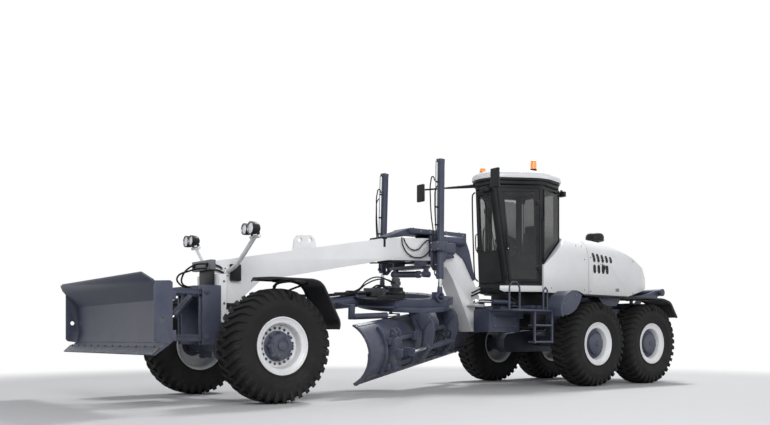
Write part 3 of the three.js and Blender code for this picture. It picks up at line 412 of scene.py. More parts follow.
class Wire:
    # one socket of a material, so that shader maths reads as sums
    def __init__(self, paint, socket):
        self.paint = paint
        self.socket = socket

    def maths(self, operation, first, second=0.0):
        return self.paint.node("ShaderNodeMath", {"operation": operation}, {0: first, 1: second})

    def __add__(self, other):
        return self.maths("ADD", self, other)

    def __radd__(self, other):
        return self.maths("ADD", other, self)

    def __sub__(self, other):
        return self.maths("SUBTRACT", self, other)

    def __rsub__(self, other):
        return self.maths("SUBTRACT", other, self)

    def __mul__(self, other):
        return self.maths("MULTIPLY", self, other)

    def __rmul__(self, other):
        return self.maths("MULTIPLY", other, self)

    def above(self, edge, width):
        # 0 below the edge, 1 above it, with a soft step between
        return self.paint.node("ShaderNodeMapRange", {"interpolation_type": "SMOOTHSTEP"},
                {"Value": self, "From Min": edge - width, "From Max": edge + width})


class Paint:
    # a material on object coordinates
    def __init__(self, name):
        self.material = bpy.data.materials.new(name)
        self.material.use_nodes = True
        self.tree = self.material.node_tree
        self.shader = self.tree.nodes["Principled BSDF"]
        self.place = self.node("ShaderNodeTexCoord", {}, {}, "Object")
        self.heights = self.node("ShaderNodeSeparateXYZ", {}, {0: self.place}, "Z")

    def node(self, kind, settings, inputs, output=0):
        made = self.tree.nodes.new(kind)
        for key, value in settings.items():
            if key == "stops":
                for stop, (place, tone) in zip(made.color_ramp.elements, value):
                    stop.position = place
                    stop.color = (tone, tone, tone, 1)
            else:
                setattr(made, key, value)
        for key, value in inputs.items():
            self.plug(made.inputs[key], value)
        return Wire(self, made.outputs[output])

    def plug(self, socket, value):
        if isinstance(value, Wire):
            self.tree.links.new(value.socket, socket)
        else:
            socket.default_value = value

    def noise(self, scale, detail=4.0, roughness=0.55, place=None):
        return self.node("ShaderNodeTexNoise", {}, {"Vector": place or self.place, "Scale": scale, "Detail": detail,
                "Roughness": roughness})

    def mix(self, share, first, second):
        # share of the second colour over the first
        made = self.tree.nodes.new("ShaderNodeMix")
        made.data_type = "RGBA"
        self.plug(made.inputs[0], share)
        self.plug(made.inputs[6], first)
        self.plug(made.inputs[7], second)
        return Wire(self, made.outputs[2])

    def stretched(self, x, y, z):
        return self.node("ShaderNodeMapping", {}, {"Vector": self.place, "Scale": (x, y, z)})

    def bump(self, height, strength, distance):
        return self.node("ShaderNodeBump", {}, {"Height": height, "Strength": strength, "Distance": distance})

    def set(self, **values):
        for key, value in values.items():
            self.plug(self.shader.inputs[key.replace("_", " ")], value)
        return self.material


# colours are linear; dust is how much pale road dust lies on a finish near the ground
dustTone = (0.30, 0.285, 0.26, 1)


def paintFinish(name, tone, deep, roughness, dust, coat=0.0, grain=0.12, sheen=0.5):
    # sprayed paint: a slow drift of tone, fine peel, faint rubbed marks and dust low down
    paint = Paint(name)
    drift = paint.noise(0.9, 3)
    marks = paint.noise(38, 5, 0.65)
    cloud = paint.noise(2.6, 6, 0.6)
    low = 1 - paint.heights.above(0.75, 0.75)
    colour = paint.mix(drift, tone, deep)
    dusty = (cloud + 0.35 * marks).above(0.66, 0.22) * dust * (0.25 + low)
    colour = paint.mix(dusty, colour, dustTone)
    peel = paint.noise(420, 2) * 0.6 + marks * 0.4
    return paint.set(Base_Color=colour, Roughness=roughness + 0.10 * (marks - 0.5) + 0.35 * dusty,
            Normal=paint.bump(peel, grain, 0.0006), Coat_Weight=coat, Coat_Roughness=0.12, Specular_IOR_Level=sheen)


def rubberFinish(name, tone, grey):
    # moulded rubber: fine grain, dust held in the grooves and towards the ground
    paint = Paint(name)
    grain = paint.noise(160, 4, 0.7)
    cloud = paint.noise(5, 6, 0.65)
    low = 1 - paint.heights.above(0.55, 0.55)
    dusty = (cloud * 0.8 + grain * 0.3).above(0.62, 0.2) * (0.05 + 0.15 * low)
    colour = paint.mix(dusty, paint.mix(grain, tone, grey), (0.10, 0.094, 0.085, 1))
    return paint.set(Base_Color=colour, Roughness=0.72 + 0.15 * grain, Normal=paint.bump(grain, 0.35, 0.001),
            Specular_IOR_Level=0.2)


def metalFinish(name, tone, dark, roughness):
    # bare metal: fine drawn lines with a few darker stains
    paint = Paint(name)
    lines = paint.noise(1, 3, 0.6, paint.stretched(6, 6, 260))
    stain = paint.noise(7, 5, 0.6)
    colour = paint.mix(stain.above(0.62, 0.15) * 0.5, tone, dark)
    return paint.set(Base_Color=colour, Metallic=1.0, Roughness=roughness + 0.12 * (lines - 0.4),
            Normal=paint.bump(lines, 0.08, 0.0004))


def wornSteel(name):
    # cutting steel: ground bright at the very edge, brown and scuffed above
    paint = Paint(name)
    scuff = paint.noise(30, 6, 0.7, paint.stretched(1, 1, 0.35))
    rust = paint.noise(8, 6, 0.65)
    colour = paint.mix(rust.above(0.58, 0.14) * 0.55, (0.075, 0.085, 0.11, 1), (0.10, 0.07, 0.05, 1))
    bright = scuff.above(0.6, 0.1)
    colour = paint.mix(bright * 0.6, colour, (0.30, 0.31, 0.33, 1))
    return paint.set(Base_Color=colour, Metallic=0.35 + 0.5 * bright, Roughness=0.55 - 0.18 * bright,
            Normal=paint.bump(scuff, 0.3, 0.001))


def glassFinish(name, tone, alpha, paintedShade=0.0):
    # tinted pane with a patchy film of dust; painted shade: the last argument turns its lower part nearly opaque and
    # dark, standing in for the shaded cab inside
    paint = Paint(name)
    film = paint.noise(3.5, 5, 0.6).above(0.6, 0.3)
    # painted shade: this is 1 low on the pane and fades out between 2.05 and 3.05 m up
    low = 1 - paint.heights.above(2.55, 0.5)
    colour = paint.mix(film * 0.12, tone, (0.20, 0.21, 0.22, 1))
    return paint.set(Base_Color=colour, Alpha=alpha + 0.06 * film + (0.86 - alpha) * low * paintedShade,
            Roughness=0.04 + 0.05 * film, Specular_IOR_Level=0.45)


def lensFinish(name, tone, glow):
    # moulded lens with fine upright ribs
    paint = Paint(name)
    ribs = paint.node("ShaderNodeTexWave", {"wave_type": "BANDS", "bands_direction": "DIAGONAL"},
            {"Vector": paint.place, "Scale": 46.0, "Distortion": 0.0}, 1)
    cloud = paint.noise(14, 3)
    colour = paint.mix(cloud * 0.35, tone, tuple(0.6 * part for part in tone[:3]) + (1,))
    return paint.set(Base_Color=colour, Roughness=0.12 + 0.06 * cloud, Normal=paint.bump(ribs, 0.25, 0.002),
            Emission_Color=colour, Emission_Strength=glow, Coat_Weight=0.6)


def fabricFinish(name, tone, deep):
    # woven seat cloth: crossed fine threads
    paint = Paint(name)
    warp = paint.node("ShaderNodeTexWave", {"bands_direction": "X"}, {"Vector": paint.place, "Scale": 190.0}, 1)
    weft = paint.node("ShaderNodeTexWave", {"bands_direction": "Z"}, {"Vector": paint.place, "Scale": 190.0}, 1)
    weave = warp * 0.5 + weft * 0.5
    fluff = paint.noise(60, 5, 0.7)
    return paint.set(Base_Color=paint.mix(weave * 0.6 + fluff * 0.4, deep, tone), Roughness=0.82 + 0.1 * fluff,
            Normal=paint.bump(weave + fluff * 0.4, 0.4, 0.0012))


def mouldedFinish(name, tone, roughness):
    # moulded plastic with a leathery grain
    paint = Paint(name)
    cells = paint.node("ShaderNodeTexVoronoi", {"feature": "F1"}, {"Vector": paint.place, "Scale": 180.0})
    cloud = paint.noise(6, 4)
    deep = tuple(0.7 * part for part in tone[:3]) + (1,)
    return paint.set(Base_Color=paint.mix(cloud, tone, deep), Roughness=roughness + 0.12 * cloud,
            Normal=paint.bump(cells, 0.25, 0.0008))


whitePaint = paintFinish("whitePaint", (0.74, 0.75, 0.76, 1), (0.68, 0.69, 0.705, 1), 0.36, 0.35, 0.25)
navyPaint = paintFinish("navyPaint", (0.044, 0.053, 0.088, 1), (0.036, 0.043, 0.074, 1), 0.42, 0.22, 0.0, sheen=0.30)
blackPaint = paintFinish("blackPaint", (0.010, 0.011, 0.014, 1), (0.007, 0.008, 0.010, 1), 0.42, 0.14, 0.0,
        sheen=0.16)
greyPaint = paintFinish("greyPaint", (0.16, 0.165, 0.175, 1), (0.12, 0.124, 0.133, 1), 0.48, 0.30, sheen=0.3)
ironPaint = paintFinish("ironPaint", (0.075, 0.078, 0.085, 1), (0.05, 0.052, 0.058, 1), 0.6, 0.4, grain=0.4,
        sheen=0.2)
tyreRubber = rubberFinish("tyreRubber", (0.0085, 0.0085, 0.009, 1), (0.016, 0.016, 0.0165, 1))
hoseRubber = rubberFinish("hoseRubber", (0.009, 0.009, 0.010, 1), (0.014, 0.014, 0.015, 1))
chromeRod = metalFinish("chromeRod", (0.74, 0.75, 0.77, 1), (0.45, 0.46, 0.48, 1), 0.16)
zincSteel = metalFinish("zincSteel", (0.20, 0.205, 0.215, 1), (0.10, 0.10, 0.11, 1), 0.42)
edgeSteel = wornSteel("edgeSteel")
# painted shade on the door, quarter and rear panes: their lower part is made nearly opaque and dark
paneGlass = glassFinish("paneGlass", (0.020, 0.021, 0.023, 1), 0.42, 0.8)
frontGlass = glassFinish("frontGlass", (0.10, 0.12, 0.11, 1), 0.14)
clearLens = lensFinish("clearLens", (0.78, 0.80, 0.82, 1), 0.0)
amberLens = lensFinish("amberLens", (0.90, 0.26, 0.015, 1), 0.25)
redLens = lensFinish("redLens", (0.45, 0.012, 0.01, 1), 0.05)
mirrorGlass = metalFinish("mirrorGlass", (0.80, 0.81, 0.83, 1), (0.7, 0.71, 0.73, 1), 0.08)
seatCloth = fabricFinish("seatCloth", (0.040, 0.041, 0.045, 1), (0.016, 0.016, 0.018, 1))
cabPlastic = mouldedFinish("cabPlastic", (0.030, 0.031, 0.034, 1), 0.55)
print("materials made")


# wheels

wheel = {
    "steps": 120, "crown": 0.716, "tread": 0.745, "half": 0.258, "bead": 0.352,
    "lugs": 36, "lugWidth": 0.058, "lugRake": 0.16, "lipRadius": 0.378,
    "frontOpening": 0.286, "rearOpening": 0.268,
}


def tyreCarcass(centre):
    # the outer skin from bead to bead, then back along a plain inner skin
    half, bead, crown = wheel["half"], wheel["bead"], wheel["crown"]
    side = [(bead, 0.202), (0.366, 0.214), (0.386, 0.226), (0.392, 0.236), (0.402, 0.236), (0.408, 0.229),
            (0.450, 0.243), (0.500, 0.252), (0.516, 0.2575), (0.526, half), (0.536, 0.2575), (0.560, 0.254),
            (0.610, 0.247), (0.655, 0.232), (0.688, 0.208), (0.706, 0.165), (0.713, 0.09)]
    outer = side + [(crown, 0.0)] + [(r, -t) for r, t in reversed(side)]
    inner = [(0.372, -0.185), (0.520, -0.228), (0.668, -0.150), (0.668, 0.150), (0.520, 0.228), (0.372, 0.185)]
    return turned(outer + inner, centre, (1, 0, 0), wheel["steps"], angle=50)


def treadLug(centre, side):
    # one bar of tread: it starts past the middle, rakes back to the shoulder and runs down the wall
    top, width, rake = wheel["tread"], wheel["lugWidth"], wheel["lugRake"]
    stations = [(-0.030, top, 0.80, 0.00), (0.050, top, 0.92, 0.18), (0.130, top - 0.002, 1.0, 0.42),
            (0.192, top - 0.010, 1.08, 0.72), (0.236, top - 0.036, 1.12, 0.93), (0.254, top - 0.078, 1.05, 1.02),
            (0.258, top - 0.140, 0.70, 1.08)]
    deselect()
    bpy.ops.mesh.primitive_plane_add(size=1, location=(0, 0, 0))
    lug = bpy.context.object
    edit()

    def ring(station):
        t, r, share, back = station
        angle = back * rake
        base = min(r - 0.012, 0.700 - max(0.0, abs(t) - 0.15) * 1.1)
        inward = max(0.0, abs(t) - 0.21) * 0.9
        return [(side * (t - inward * (level < 1)), math.sin(angle + a) * rr, math.cos(angle + a) * rr)
                for rr, a, level in ((base, -share * width * 0.62 / top, 0), (r, -share * width * 0.5 / top, 1),
                (r, share * width * 0.5 / top, 1), (base, share * width * 0.62 / top, 0))]

    def place(points):
        shape = bmesh.from_edit_mesh(lug.data)
        corners = [v for v in shape.verts if v.select]
        order = sorted(corners, key=lambda v: v.index)
        for corner, point in zip(order, points):
            corner.co = point
        bmesh.update_edit_mesh(lug.data)

    place([ring(stations[0])[i] for i in (0, 1, 3, 2)])
    for station in stations[1:]:
        bpy.ops.mesh.extrude_region_move(TRANSFORM_OT_translate={"value": (0, 0, 0)})
        place([ring(station)[i] for i in (0, 1, 3, 2)])
    faceOut()
    bpy.ops.transform.translate(value=centre)
    done()
    return lug


def tyre(centre):
    pieces = [tyreCarcass(centre)]
    for side in (1, -1):
        lug = treadLug(centre, side)
        edit()
        everything()
        if side < 0:
            bpy.ops.transform.rotate(value=math.pi / wheel["lugs"], orient_axis="X", center_override=centre)
        bpy.ops.mesh.spin(steps=wheel["lugs"], dupli=True, angle=math.tau, center=centre, axis=(1, 0, 0))
        done()
        soften(lug, 0.005, 1, 40)
        smooth(lug, 30)
        pieces.append(lug)
    return together(*pieces)


def rimShell(centre, opening):
    lip = wheel["lipRadius"]
    profile = [(lip, 0.214), (lip, 0.224), (lip - 0.004, 0.229), (lip - 0.013, 0.230), (lip - 0.020, 0.226),
            (lip - 0.026, 0.216), (lip - 0.040, 0.213), (lip - 0.046, 0.206), (lip - 0.056, 0.203),
            (opening + 0.022, 0.200), (opening + 0.010, 0.192), (opening + 0.004, 0.178), (opening - 0.004, 0.120),
            (opening - 0.014, 0.088), (opening - 0.030, 0.079), (0.170, 0.077), (0.170, 0.046), (0.300, 0.044),
            (0.318, 0.030), (0.320, -0.150), (0.330, -0.198), (lip - 0.030, -0.214), (lip - 0.013, -0.230),
            (lip - 0.004, -0.229), (lip, -0.224), (lip, -0.214), (0.350, -0.209), (0.349, 0.209)]
    return turned(profile, centre, (1, 0, 0), 96, angle=40)


def frontHub(centre):
    # planetary hub: flanged drum with a bolted cover, plugs and a centre cap
    out = (1, 0, 0)
    drum = turned([(0.0, 0.072), (0.200, 0.078), (0.200, 0.092), (0.192, 0.097), (0.172, 0.100), (0.166, 0.106),
            (0.160, 0.170), (0.156, 0.186), (0.150, 0.192), (0.126, 0.196), (0.118, 0.204), (0.098, 0.206),
            (0.092, 0.194), (0.060, 0.194), (0.054, 0.213), (0.044, 0.219), (0.0, 0.220)], centre, out, 72,
            angle=32)
    lobes = [bar(place, place + Vector((0.090, 0, 0)), 0.026, 20, 0.004)
            for place in ringPlaces(centre + Vector((0.094, 0, 0)), out, 0.164, 8)]
    pieces = [drum, *lobes, boltHeads(ringPlaces(centre + Vector((0.184, 0, 0)), out, 0.164, 8), out, 0.0125),
            boltHeads(ringPlaces(centre + Vector((0.080, 0, 0)), out, 0.232, 20), out, 0.013),
            boltHeads(ringPlaces(centre + Vector((0.203, 0, 0)), out, 0.076, 6, 0.3), out, 0.007, False)]
    for place in ringPlaces(centre + Vector((0.192, 0, 0)), out, 0.128, 4, 0.39):
        pieces.append(bar(place, place + Vector((0.016, 0, 0)), 0.021, 20, 0.003))
    return together(*pieces)


def rearHub(centre):
    # flat bolted disc with a small centre cap, set in the opening of the rim
    out = (1, 0, 0)
    disc = turned([(0.0, 0.070), (0.252, 0.078), (0.252, 0.118), (0.246, 0.126), (0.196, 0.130), (0.188, 0.140),
            (0.186, 0.176), (0.178, 0.186), (0.150, 0.192), (0.070, 0.197), (0.052, 0.197), (0.048, 0.190),
            (0.034, 0.190), (0.030, 0.202), (0.022, 0.206), (0.0, 0.206)], centre, out, 72, angle=32)
    return together(disc, boltHeads(ringPlaces(centre + Vector((0.127, 0, 0)), out, 0.219, 20), out, 0.013),
            boltHeads(ringPlaces(centre + Vector((0.190, 0, 0)), out, 0.166, 10), out, 0.008, False))


def centreOf(node):
    low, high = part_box(node)
    return (Vector(low) + Vector(high)) / 2


def makeWheels():
    first = centreOf("front_tyre_left")
    model = tyre(first)
    rims = {"front": rimShell(first, wheel["frontOpening"]), "rear": rimShell(first, wheel["rearOpening"])}
    hubs = {"front": frontHub(first), "rear": rearHub(first)}
    valve = bar(first + Vector((0.17, 0.0, 0.262)), first + Vector((0.215, 0.0, 0.272)), 0.006, 10, 0.001)
    for row in ("front", "middle", "rear"):
        kind = "front" if row == "front" else "rear"
        for side, hand in ((1, "left"), (-1, "right")):
            centre = centreOf(f"{row}_tyre_{hand}")
            body = f"{row}_wheel_{hand}"
            turn = 0.1 * ("front", "middle", "rear").index(row) + (0.04 if side < 0 else 0.0)

            def placed(piece):
                twin = copied(piece, turn=turn, axis="X", about=first)
                if side < 0:
                    twin = mirroredAbout(twin, first.x)
                pick(twin)
                bpy.ops.transform.translate(value=centre - first)
                settle()
                return twin

            shown(placed(model), f"{row}_{hand}_tyre_tread", body, tyreRubber, f"{row}_tyre_{hand}")
            shown(placed(rims[kind]), f"{row}_{hand}_rim_shell", body, whitePaint, f"{row}_rim_{hand}")
            shown(placed(hubs[kind]), f"{row}_{hand}_hub", body, navyPaint)
            shown(placed(valve), f"{row}_{hand}_valve", body, zincSteel)
    for piece in (model, valve, *rims.values(), *hubs.values()):
        drop(piece)


def mirroredAbout(piece, x):
    # turns a piece over to face the other way, in place
    pick(piece)
    edit()
    everything()
    bpy.ops.transform.resize(value=(-1, 1, 1), center_override=(x, 0, 0))
    bpy.ops.mesh.flip_normals()
    done()
    return piece


makeWheels()
print("wheels made")


def drilled(piece, *holes):
    # cuts round holes, each given by its two ends and its radius
    for start, end, radius in holes:
        cut(piece, bar(start, end, radius, 32, 0))
    smooth(piece)
    return piece


def bothSides(name, piece, body, material, *nodes):
    # the left piece and its mirror image; body and node names take the hand
    other = copied(piece, mirror=True)
    for hand, one in (("left", piece), ("right", other)):
        shown(one, f"{name}_{hand}", body.format(hand), material, *[node.format(hand) for node in nodes])


# front frame

beam = {"noseY": -4.09, "nosePlateLow": 0.76, "edge": 0.010}


def makeFrontFrame():
    shown(refined("main_frame", bevel=beam["edge"], segments=3), "front_beam", "front_frame", whitePaint,
            "main_frame")
    eye = plate([(-2.72, 2.15), (-2.69, 2.33), (-2.64, 2.385), (-2.40, 2.40), (-2.34, 2.35), (-2.30, 2.20)], 0,
            -0.02, 0.02, 0.004)
    eye = drilled(eye, ((-0.05, -2.60, 2.315), (0.05, -2.60, 2.315), 0.038),
            ((-0.05, -2.42, 2.325), (0.05, -2.42, 2.325), 0.038))
    shown(eye, "lifting_eye", "front_frame", whitePaint)
    nose = beam["noseY"]
    flanges = []
    for side in (1, -1):
        x = side * 0.315
        flanges.append(slab((x, nose + 0.003, beam["nosePlateLow"]), (x + side * 0.03, nose + 0.105, 1.72), 0.004))
        flanges.append(slab((side * 0.158, nose + 0.003, 1.16), (x, nose + 0.03, 1.72), 0.003))
    shown(together(*flanges), "nose_flanges", "front_frame", whitePaint)
    bolts = [boltHeads([(side * 0.347, nose + 0.07, z) for z in (0.84, 1.02, 1.32, 1.62)], (side, 0, 0), 0.012)
            for side in (1, -1)]
    shown(together(*bolts), "nose_bolts", "front_frame", zincSteel)
    cross = slab((-0.345, -4.17, 1.782), (0.245, nose - 0.002, 1.918), 0.006)
    shown(cross, "nose_cross_block", "front_frame", greyPaint)
    backing = together(slab((-0.205, -4.125, 1.545), (0.205, nose - 0.002, 1.783), 0.004),
            slab((0.162, -3.97, 1.262), (0.240, -3.72, 1.332), 0.005), slab((0.162, -3.845, 1.645),
            (0.222, -3.69, 1.875), 0.008), slab((-0.240, -3.97, 1.262), (-0.162, -3.72, 1.332), 0.005),
            boltHeads([(x, -4.170, 1.85) for x in (-0.27, 0.14)], (0, -1, 0), 0.026))
    shown(backing, "nose_backing", "front_frame", blackPaint)
    strap = together(slab((-0.166, -1.16, 2.425), (0.166, -1.06, 2.462), 0.004),
            slab((0.1595, -1.13, 2.30), (0.168, -1.09, 2.45), 0.002))
    pads = [slab((-0.14, y, z - 0.016), (0.14, y + 0.30, z + 0.012), 0.004)
            for y, z in ((-0.98, 2.085), (-0.46, 2.10), (-0.10, 2.108))]
    shown(together(strap, *pads), "beam_straps", "front_frame", blackPaint)


noseHoses = {"radius": 0.0125, "spread": 0.045}


def makeFrontHoses():
    lines = []
    for i in range(2):
        x = noseHoses["spread"] * (2 * i - 1)
        rise = 0.060 * i
        lines.append(hose([(0.168, -3.93 - 0.03 * i, 1.745 + rise), (0.19, -4.02, 1.775 + rise),
                (0.13 + x * 0.5, -4.20, 1.80 + rise), (0.02 + x, -4.36, 1.765 + rise),
                (-0.08 + x, -4.49 + 0.5 * rise, 1.670), (-0.07 + x, -4.455, 1.585), (-0.03 + x, -4.36, 1.535)],
                noseHoses["radius"]))
    lines.append(hose([(0.172, -4.03, 1.60), (0.178, -4.03, 1.50), (0.178, -4.03, 1.33), (0.180, -4.01, 1.285),
            (0.185, -3.93, 1.275), (0.19, -3.80, 1.272)], 0.008))
    for side in (1, -1):
        lines.append(hose([(side * 0.165, -0.72, 2.47), (side * 0.186, -0.69, 2.38), (side * 0.190, -0.58, 2.295),
                (side * 0.190, -0.44, 2.30), (side * 0.192, -0.32, 2.40), (side * 0.205, -0.22, 2.46),
                (side * 0.225, -0.16, 2.40)], 0.010))
        lines.append(hose([(side * 0.165, -0.76, 2.48), (side * 0.184, -0.75, 2.34), (side * 0.190, -0.62, 2.20),
                (side * 0.190, -0.46, 2.165), (side * 0.192, -0.30, 2.20), (side * 0.205, -0.19, 2.30),
                (side * 0.225, -0.15, 2.34)], 0.010))
        lines.append(hose([(side * 0.10, -1.20, 2.055), (side * 0.11, -1.06, 2.065), (side * 0.11, -0.80, 2.075),
                (side * 0.12, -0.50, 2.085), (side * 0.13, -0.20, 2.09), (side * 0.14, 0.06, 2.05)], 0.012))
    shown(together(*lines), "front_hoses", "front_frame", hoseRubber)
    ends = [bar((0.160, -3.93 - 0.03 * i, 1.745 + 0.060 * i), (0.178, -3.945 - 0.03 * i, 1.752 + 0.060 * i), 0.017,
            6, 0.001) for i in range(2)]
    shown(together(*ends), "front_hose_ends", "front_frame", zincSteel)


def makeSaddle():
    parts = [slab((-0.22, -0.62, 2.56), (0.22, 0.59, 2.64), 0.008),
            plate([(-1.10, 2.452), (-0.72, 2.600), (-0.62, 2.632), (-0.60, 2.632), (-0.60, 2.520), (-1.06, 2.452)],
            0, -0.165, 0.165, 0.006)]
    cheek = [(-0.18, 2.20), (0.38, 2.33), (0.59, 2.20), (0.82, 1.84), (0.86, 1.85), (0.73, 2.33), (0.59, 2.638),
            (-0.18, 2.638)]

    def onSide(side, low, high, bevel=0.005):
        return slab((side * low[0], *low[1:]), (side * high[0], *high[1:]), bevel)

    for side in (1, -1):
        parts.append(plate(cheek, 0, side * 0.1605, side * 0.19, 0.005))
        for x, end in ((0.637, -0.03), (0.818, -0.375)):
            ear = onSide(side, (x, -0.52, 2.225), (x + 0.025, end, 2.375))
            parts.append(drilled(ear, ((side * (x - 0.02), -0.44, 2.30), (side * (x + 0.05), -0.44, 2.30), 0.0285)))
        parts.append(onSide(side, (0.637, -0.552, 2.225), (0.843, -0.518, 2.375)))
        parts.append(onSide(side, (0.18, -0.17, 2.205), (0.638, -0.03, 2.39), 0.006))
        parts.append(onSide(side, (0.185, 0.02, 2.43), (0.262, 0.585, 2.632), 0.008))
        parts.append(bar((side * 0.285, -0.04, 2.47), (side * 0.285, 0.44, 2.47), 0.088, 40, 0.006))
        parts.append(bar((side * 0.285, -0.06, 2.47), (side * 0.285, -0.035, 2.47), 0.066, 32, 0.004))
        ear = plate([(-0.55, 2.235), (-0.55, 1.99), (-0.50, 1.925), (-0.42, 1.925), (-0.24, 2.10), (-0.20, 2.235)],
                0, side * 0.628, side * 0.654, 0.004)
        parts.append(drilled(ear, ((side * 0.60, -0.45, 2.02), (side * 0.68, -0.45, 2.02), 0.030)))
        parts.append(plate([(-0.14, 2.36), (-0.10, 2.36), (0.30, 2.30), (0.34, 2.20), (0.10, 2.16), (-0.14, 2.20)],
                0, side * 0.19, side * 0.23, 0.005))
    parts.append(slab((-0.34, -0.62, 1.985), (0.34, -0.30, 2.025), 0.006))
    for x in (-0.30, 0.26):
        parts.append(slab((x, -0.58, 2.02), (x + 0.04, -0.34, 2.10), 0.005))
    shown(together(*parts), "saddle_yoke", "front_frame", navyPaint, "lift_saddle")
    heads = []
    for side in (1, -1):
        heads.append(boltHeads([(side * x, -0.553, z) for x in (0.66, 0.82) for z in (2.25, 2.35)], (0, -1, 0),
                0.013))
        heads.append(boltHeads([(side * 0.2205, y, 2.60) for y in (-0.40, -0.20, -0.06)], (side, 0, 0), 0.012))
        heads.append(boltHeads([(side * 0.2625, y, 2.59) for y in (0.12, 0.50)], (side, 0, 0), 0.012))
        heads.append(boltHeads(ringPlaces((side * 0.285, 0.442, 2.47), (0, 1, 0), 0.064, 6), (0, 1, 0), 0.010))
    heads.append(boltHeads([(x, y, 2.641) for x in (-0.17, 0.17) for y in (-0.52, -0.16, 0.20, 0.50)], (0, 0, 1),
            0.014))
    shown(together(*heads), "saddle_bolts", "front_frame", zincSteel)
    shift = [bar((-0.44, -0.43, 1.925), (0.20, -0.44, 1.89), 0.052, 40, 0.004),
            bar((0.17, -0.44, 1.8915), (0.235, -0.441, 1.888), 0.060, 40, 0.004),
            bar((-0.47, -0.43, 1.927), (-0.43, -0.43, 1.925), 0.058, 40, 0.004),
            bar((0.40, -0.505, 1.88), (0.40, -0.38, 1.88), 0.050, 32, 0.004),
            slab((0.36, -0.475, 1.88), (0.44, -0.415, 2.01), 0.008),
            slab((-0.44, -0.46, 1.93), (-0.36, -0.40, 2.01), 0.006),
            slab((0.22, -0.475, 1.985), (0.44, -0.415, 2.02), 0.006),
            slab((-0.44, -0.46, 1.985), (-0.26, -0.40, 2.02), 0.006)]
    shown(together(*shift), "centre_shift_barrel", "front_frame", navyPaint)
    shown(bar((0.23, -0.441, 1.888), (0.37, -0.443, 1.881), 0.028, 32, 0.002), "centre_shift_rod", "front_frame",
            chromeRod)


# lift cylinders, each hung in its trunnion

lift = {
    "trunnion": (0.74, -0.44, 2.30), "above": 1.39, "radius": 0.058, "rod": 0.032,
    "left": {"below": 0.515, "eye": (-0.4505, 1.4986)}, "right": {"below": 0.335, "eye": (-0.4611, 1.6879)},
}


def makeLiftCylinders():
    for side, hand in ((1, "left"), (-1, "right")):
        own = lift[hand]
        hub = Vector((side * lift["trunnion"][0], *lift["trunnion"][1:]))
        eye = Vector((hub.x, *own["eye"]))
        down = (eye - hub).normalized()

        def at(distance, x=0.0, y=0.0):
            return hub + down * distance + Vector((x, y, 0))

        low, high, radius = own["below"], -lift["above"], lift["radius"]
        barrel = turned([(0.0, high), (radius - 0.004, high), (radius + 0.002, high + 0.006),
                (radius + 0.002, high + 0.05), (radius, high + 0.056), (radius, -0.075), (radius + 0.013, -0.062),
                (radius + 0.013, 0.062), (radius, 0.075), (radius, low - 0.115), (radius + 0.005, low - 0.11),
                (radius + 0.005, low - 0.014), (radius - 0.003, low - 0.004), (0.045, low), (0.0335, low),
                (0.0335, -1.20), (0.0, -1.20)], hub, down, 48, angle=30)
        pins = bar(at(0, -0.102), at(0, 0.102), 0.0275, 32, 0.003)
        ports = [slab(at(high + 0.03, -0.022, -0.085) - Vector((0, 0, 0.025)), at(high + 0.03, 0.022, -0.05)
                + Vector((0, 0, 0.025)), 0.004), slab(at(low - 0.06, -0.022, -0.088) - Vector((0, 0, 0.022)),
                at(low - 0.06, 0.022, -0.05) + Vector((0, 0, 0.022)), 0.004)]
        shown(together(barrel, pins, *ports), f"lift_cylinder_{hand}", f"lift_barrel_{hand}", navyPaint,
                f"lift_barrel_{hand}")
        pipe = tube([at(high + 0.03, 0, -0.08), at(high + 0.03, 0, -0.105), at(-0.30, 0, -0.100),
                at(-0.22, 0, -0.085)], 0.0085, 12)
        clips = [slab(at(d, -0.014, -0.112) - Vector((0, 0, 0.012)), at(d, 0.014, -0.05) + Vector((0, 0, 0.012)),
                0.002) for d in (-1.02, -0.62, -0.34)]
        shown(pipe, f"lift_pipe_{hand}", f"lift_barrel_{hand}", zincSteel)
        shown(together(*clips), f"lift_clips_{hand}", f"lift_barrel_{hand}", blackPaint)
        x = -side * 0.03
        loop = hose([at(-1.04, x, -0.10), at(-1.10, x, -0.145), at(-1.02, x, -0.185), at(-0.75, x, -0.190),
                at(-0.45, x, -0.165), at(-0.22, x, -0.125), at(-0.10, x * 2.2, -0.098),
                at(-0.085, x * 2.4, -0.085)], 0.010)
        fall = hose([at(-0.95, -x, -0.10), at(-0.90, -x, -0.135), at(-0.70, -x, -0.15), at(-0.40, -x, -0.135),
                at(-0.20, -x, -0.11), at(-0.085, -x, -0.084)], 0.009)
        lower = hose([at(0.08, x, -0.078), at(0.14, x, -0.10), at(low - 0.16, x, -0.10),
                at(low - 0.06, x * 0.6, -0.092)], 0.009)
        shown(together(loop, fall, lower), f"lift_hoses_{hand}", f"lift_barrel_{hand}", hoseRubber)
        reach = (eye - hub).length
        shown(bar(at(-0.28), at(reach - 0.07), lift["rod"], 40, 0.002), f"lift_rod_shaft_{hand}",
                f"lift_rod_{hand}", chromeRod, f"lift_rod_{hand}")
        ring = turned([(0.050, -0.025), (0.080, -0.025), (0.085, -0.020), (0.085, 0.020), (0.080, 0.025),
                (0.050, 0.025), (0.047, 0.021), (0.047, -0.021)], eye, (1, 0, 0), 48)
        neck = bar(at(reach - 0.16), at(reach - 0.06), 0.040, 32, 0.004, tip=0.046)
        shown(together(ring, neck, boltHeads([at(reach - 0.10, 0, -0.043)], (0, -1, 0), 0.008, False)),
                f"lift_rod_eye_{hand}", f"lift_rod_{hand}", navyPaint)


# headlamps on their bent posts

lamp = {"radius": 0.086, "places": (0.815, 0.985), "back": -3.835, "front": -3.975, "height": 2.285}


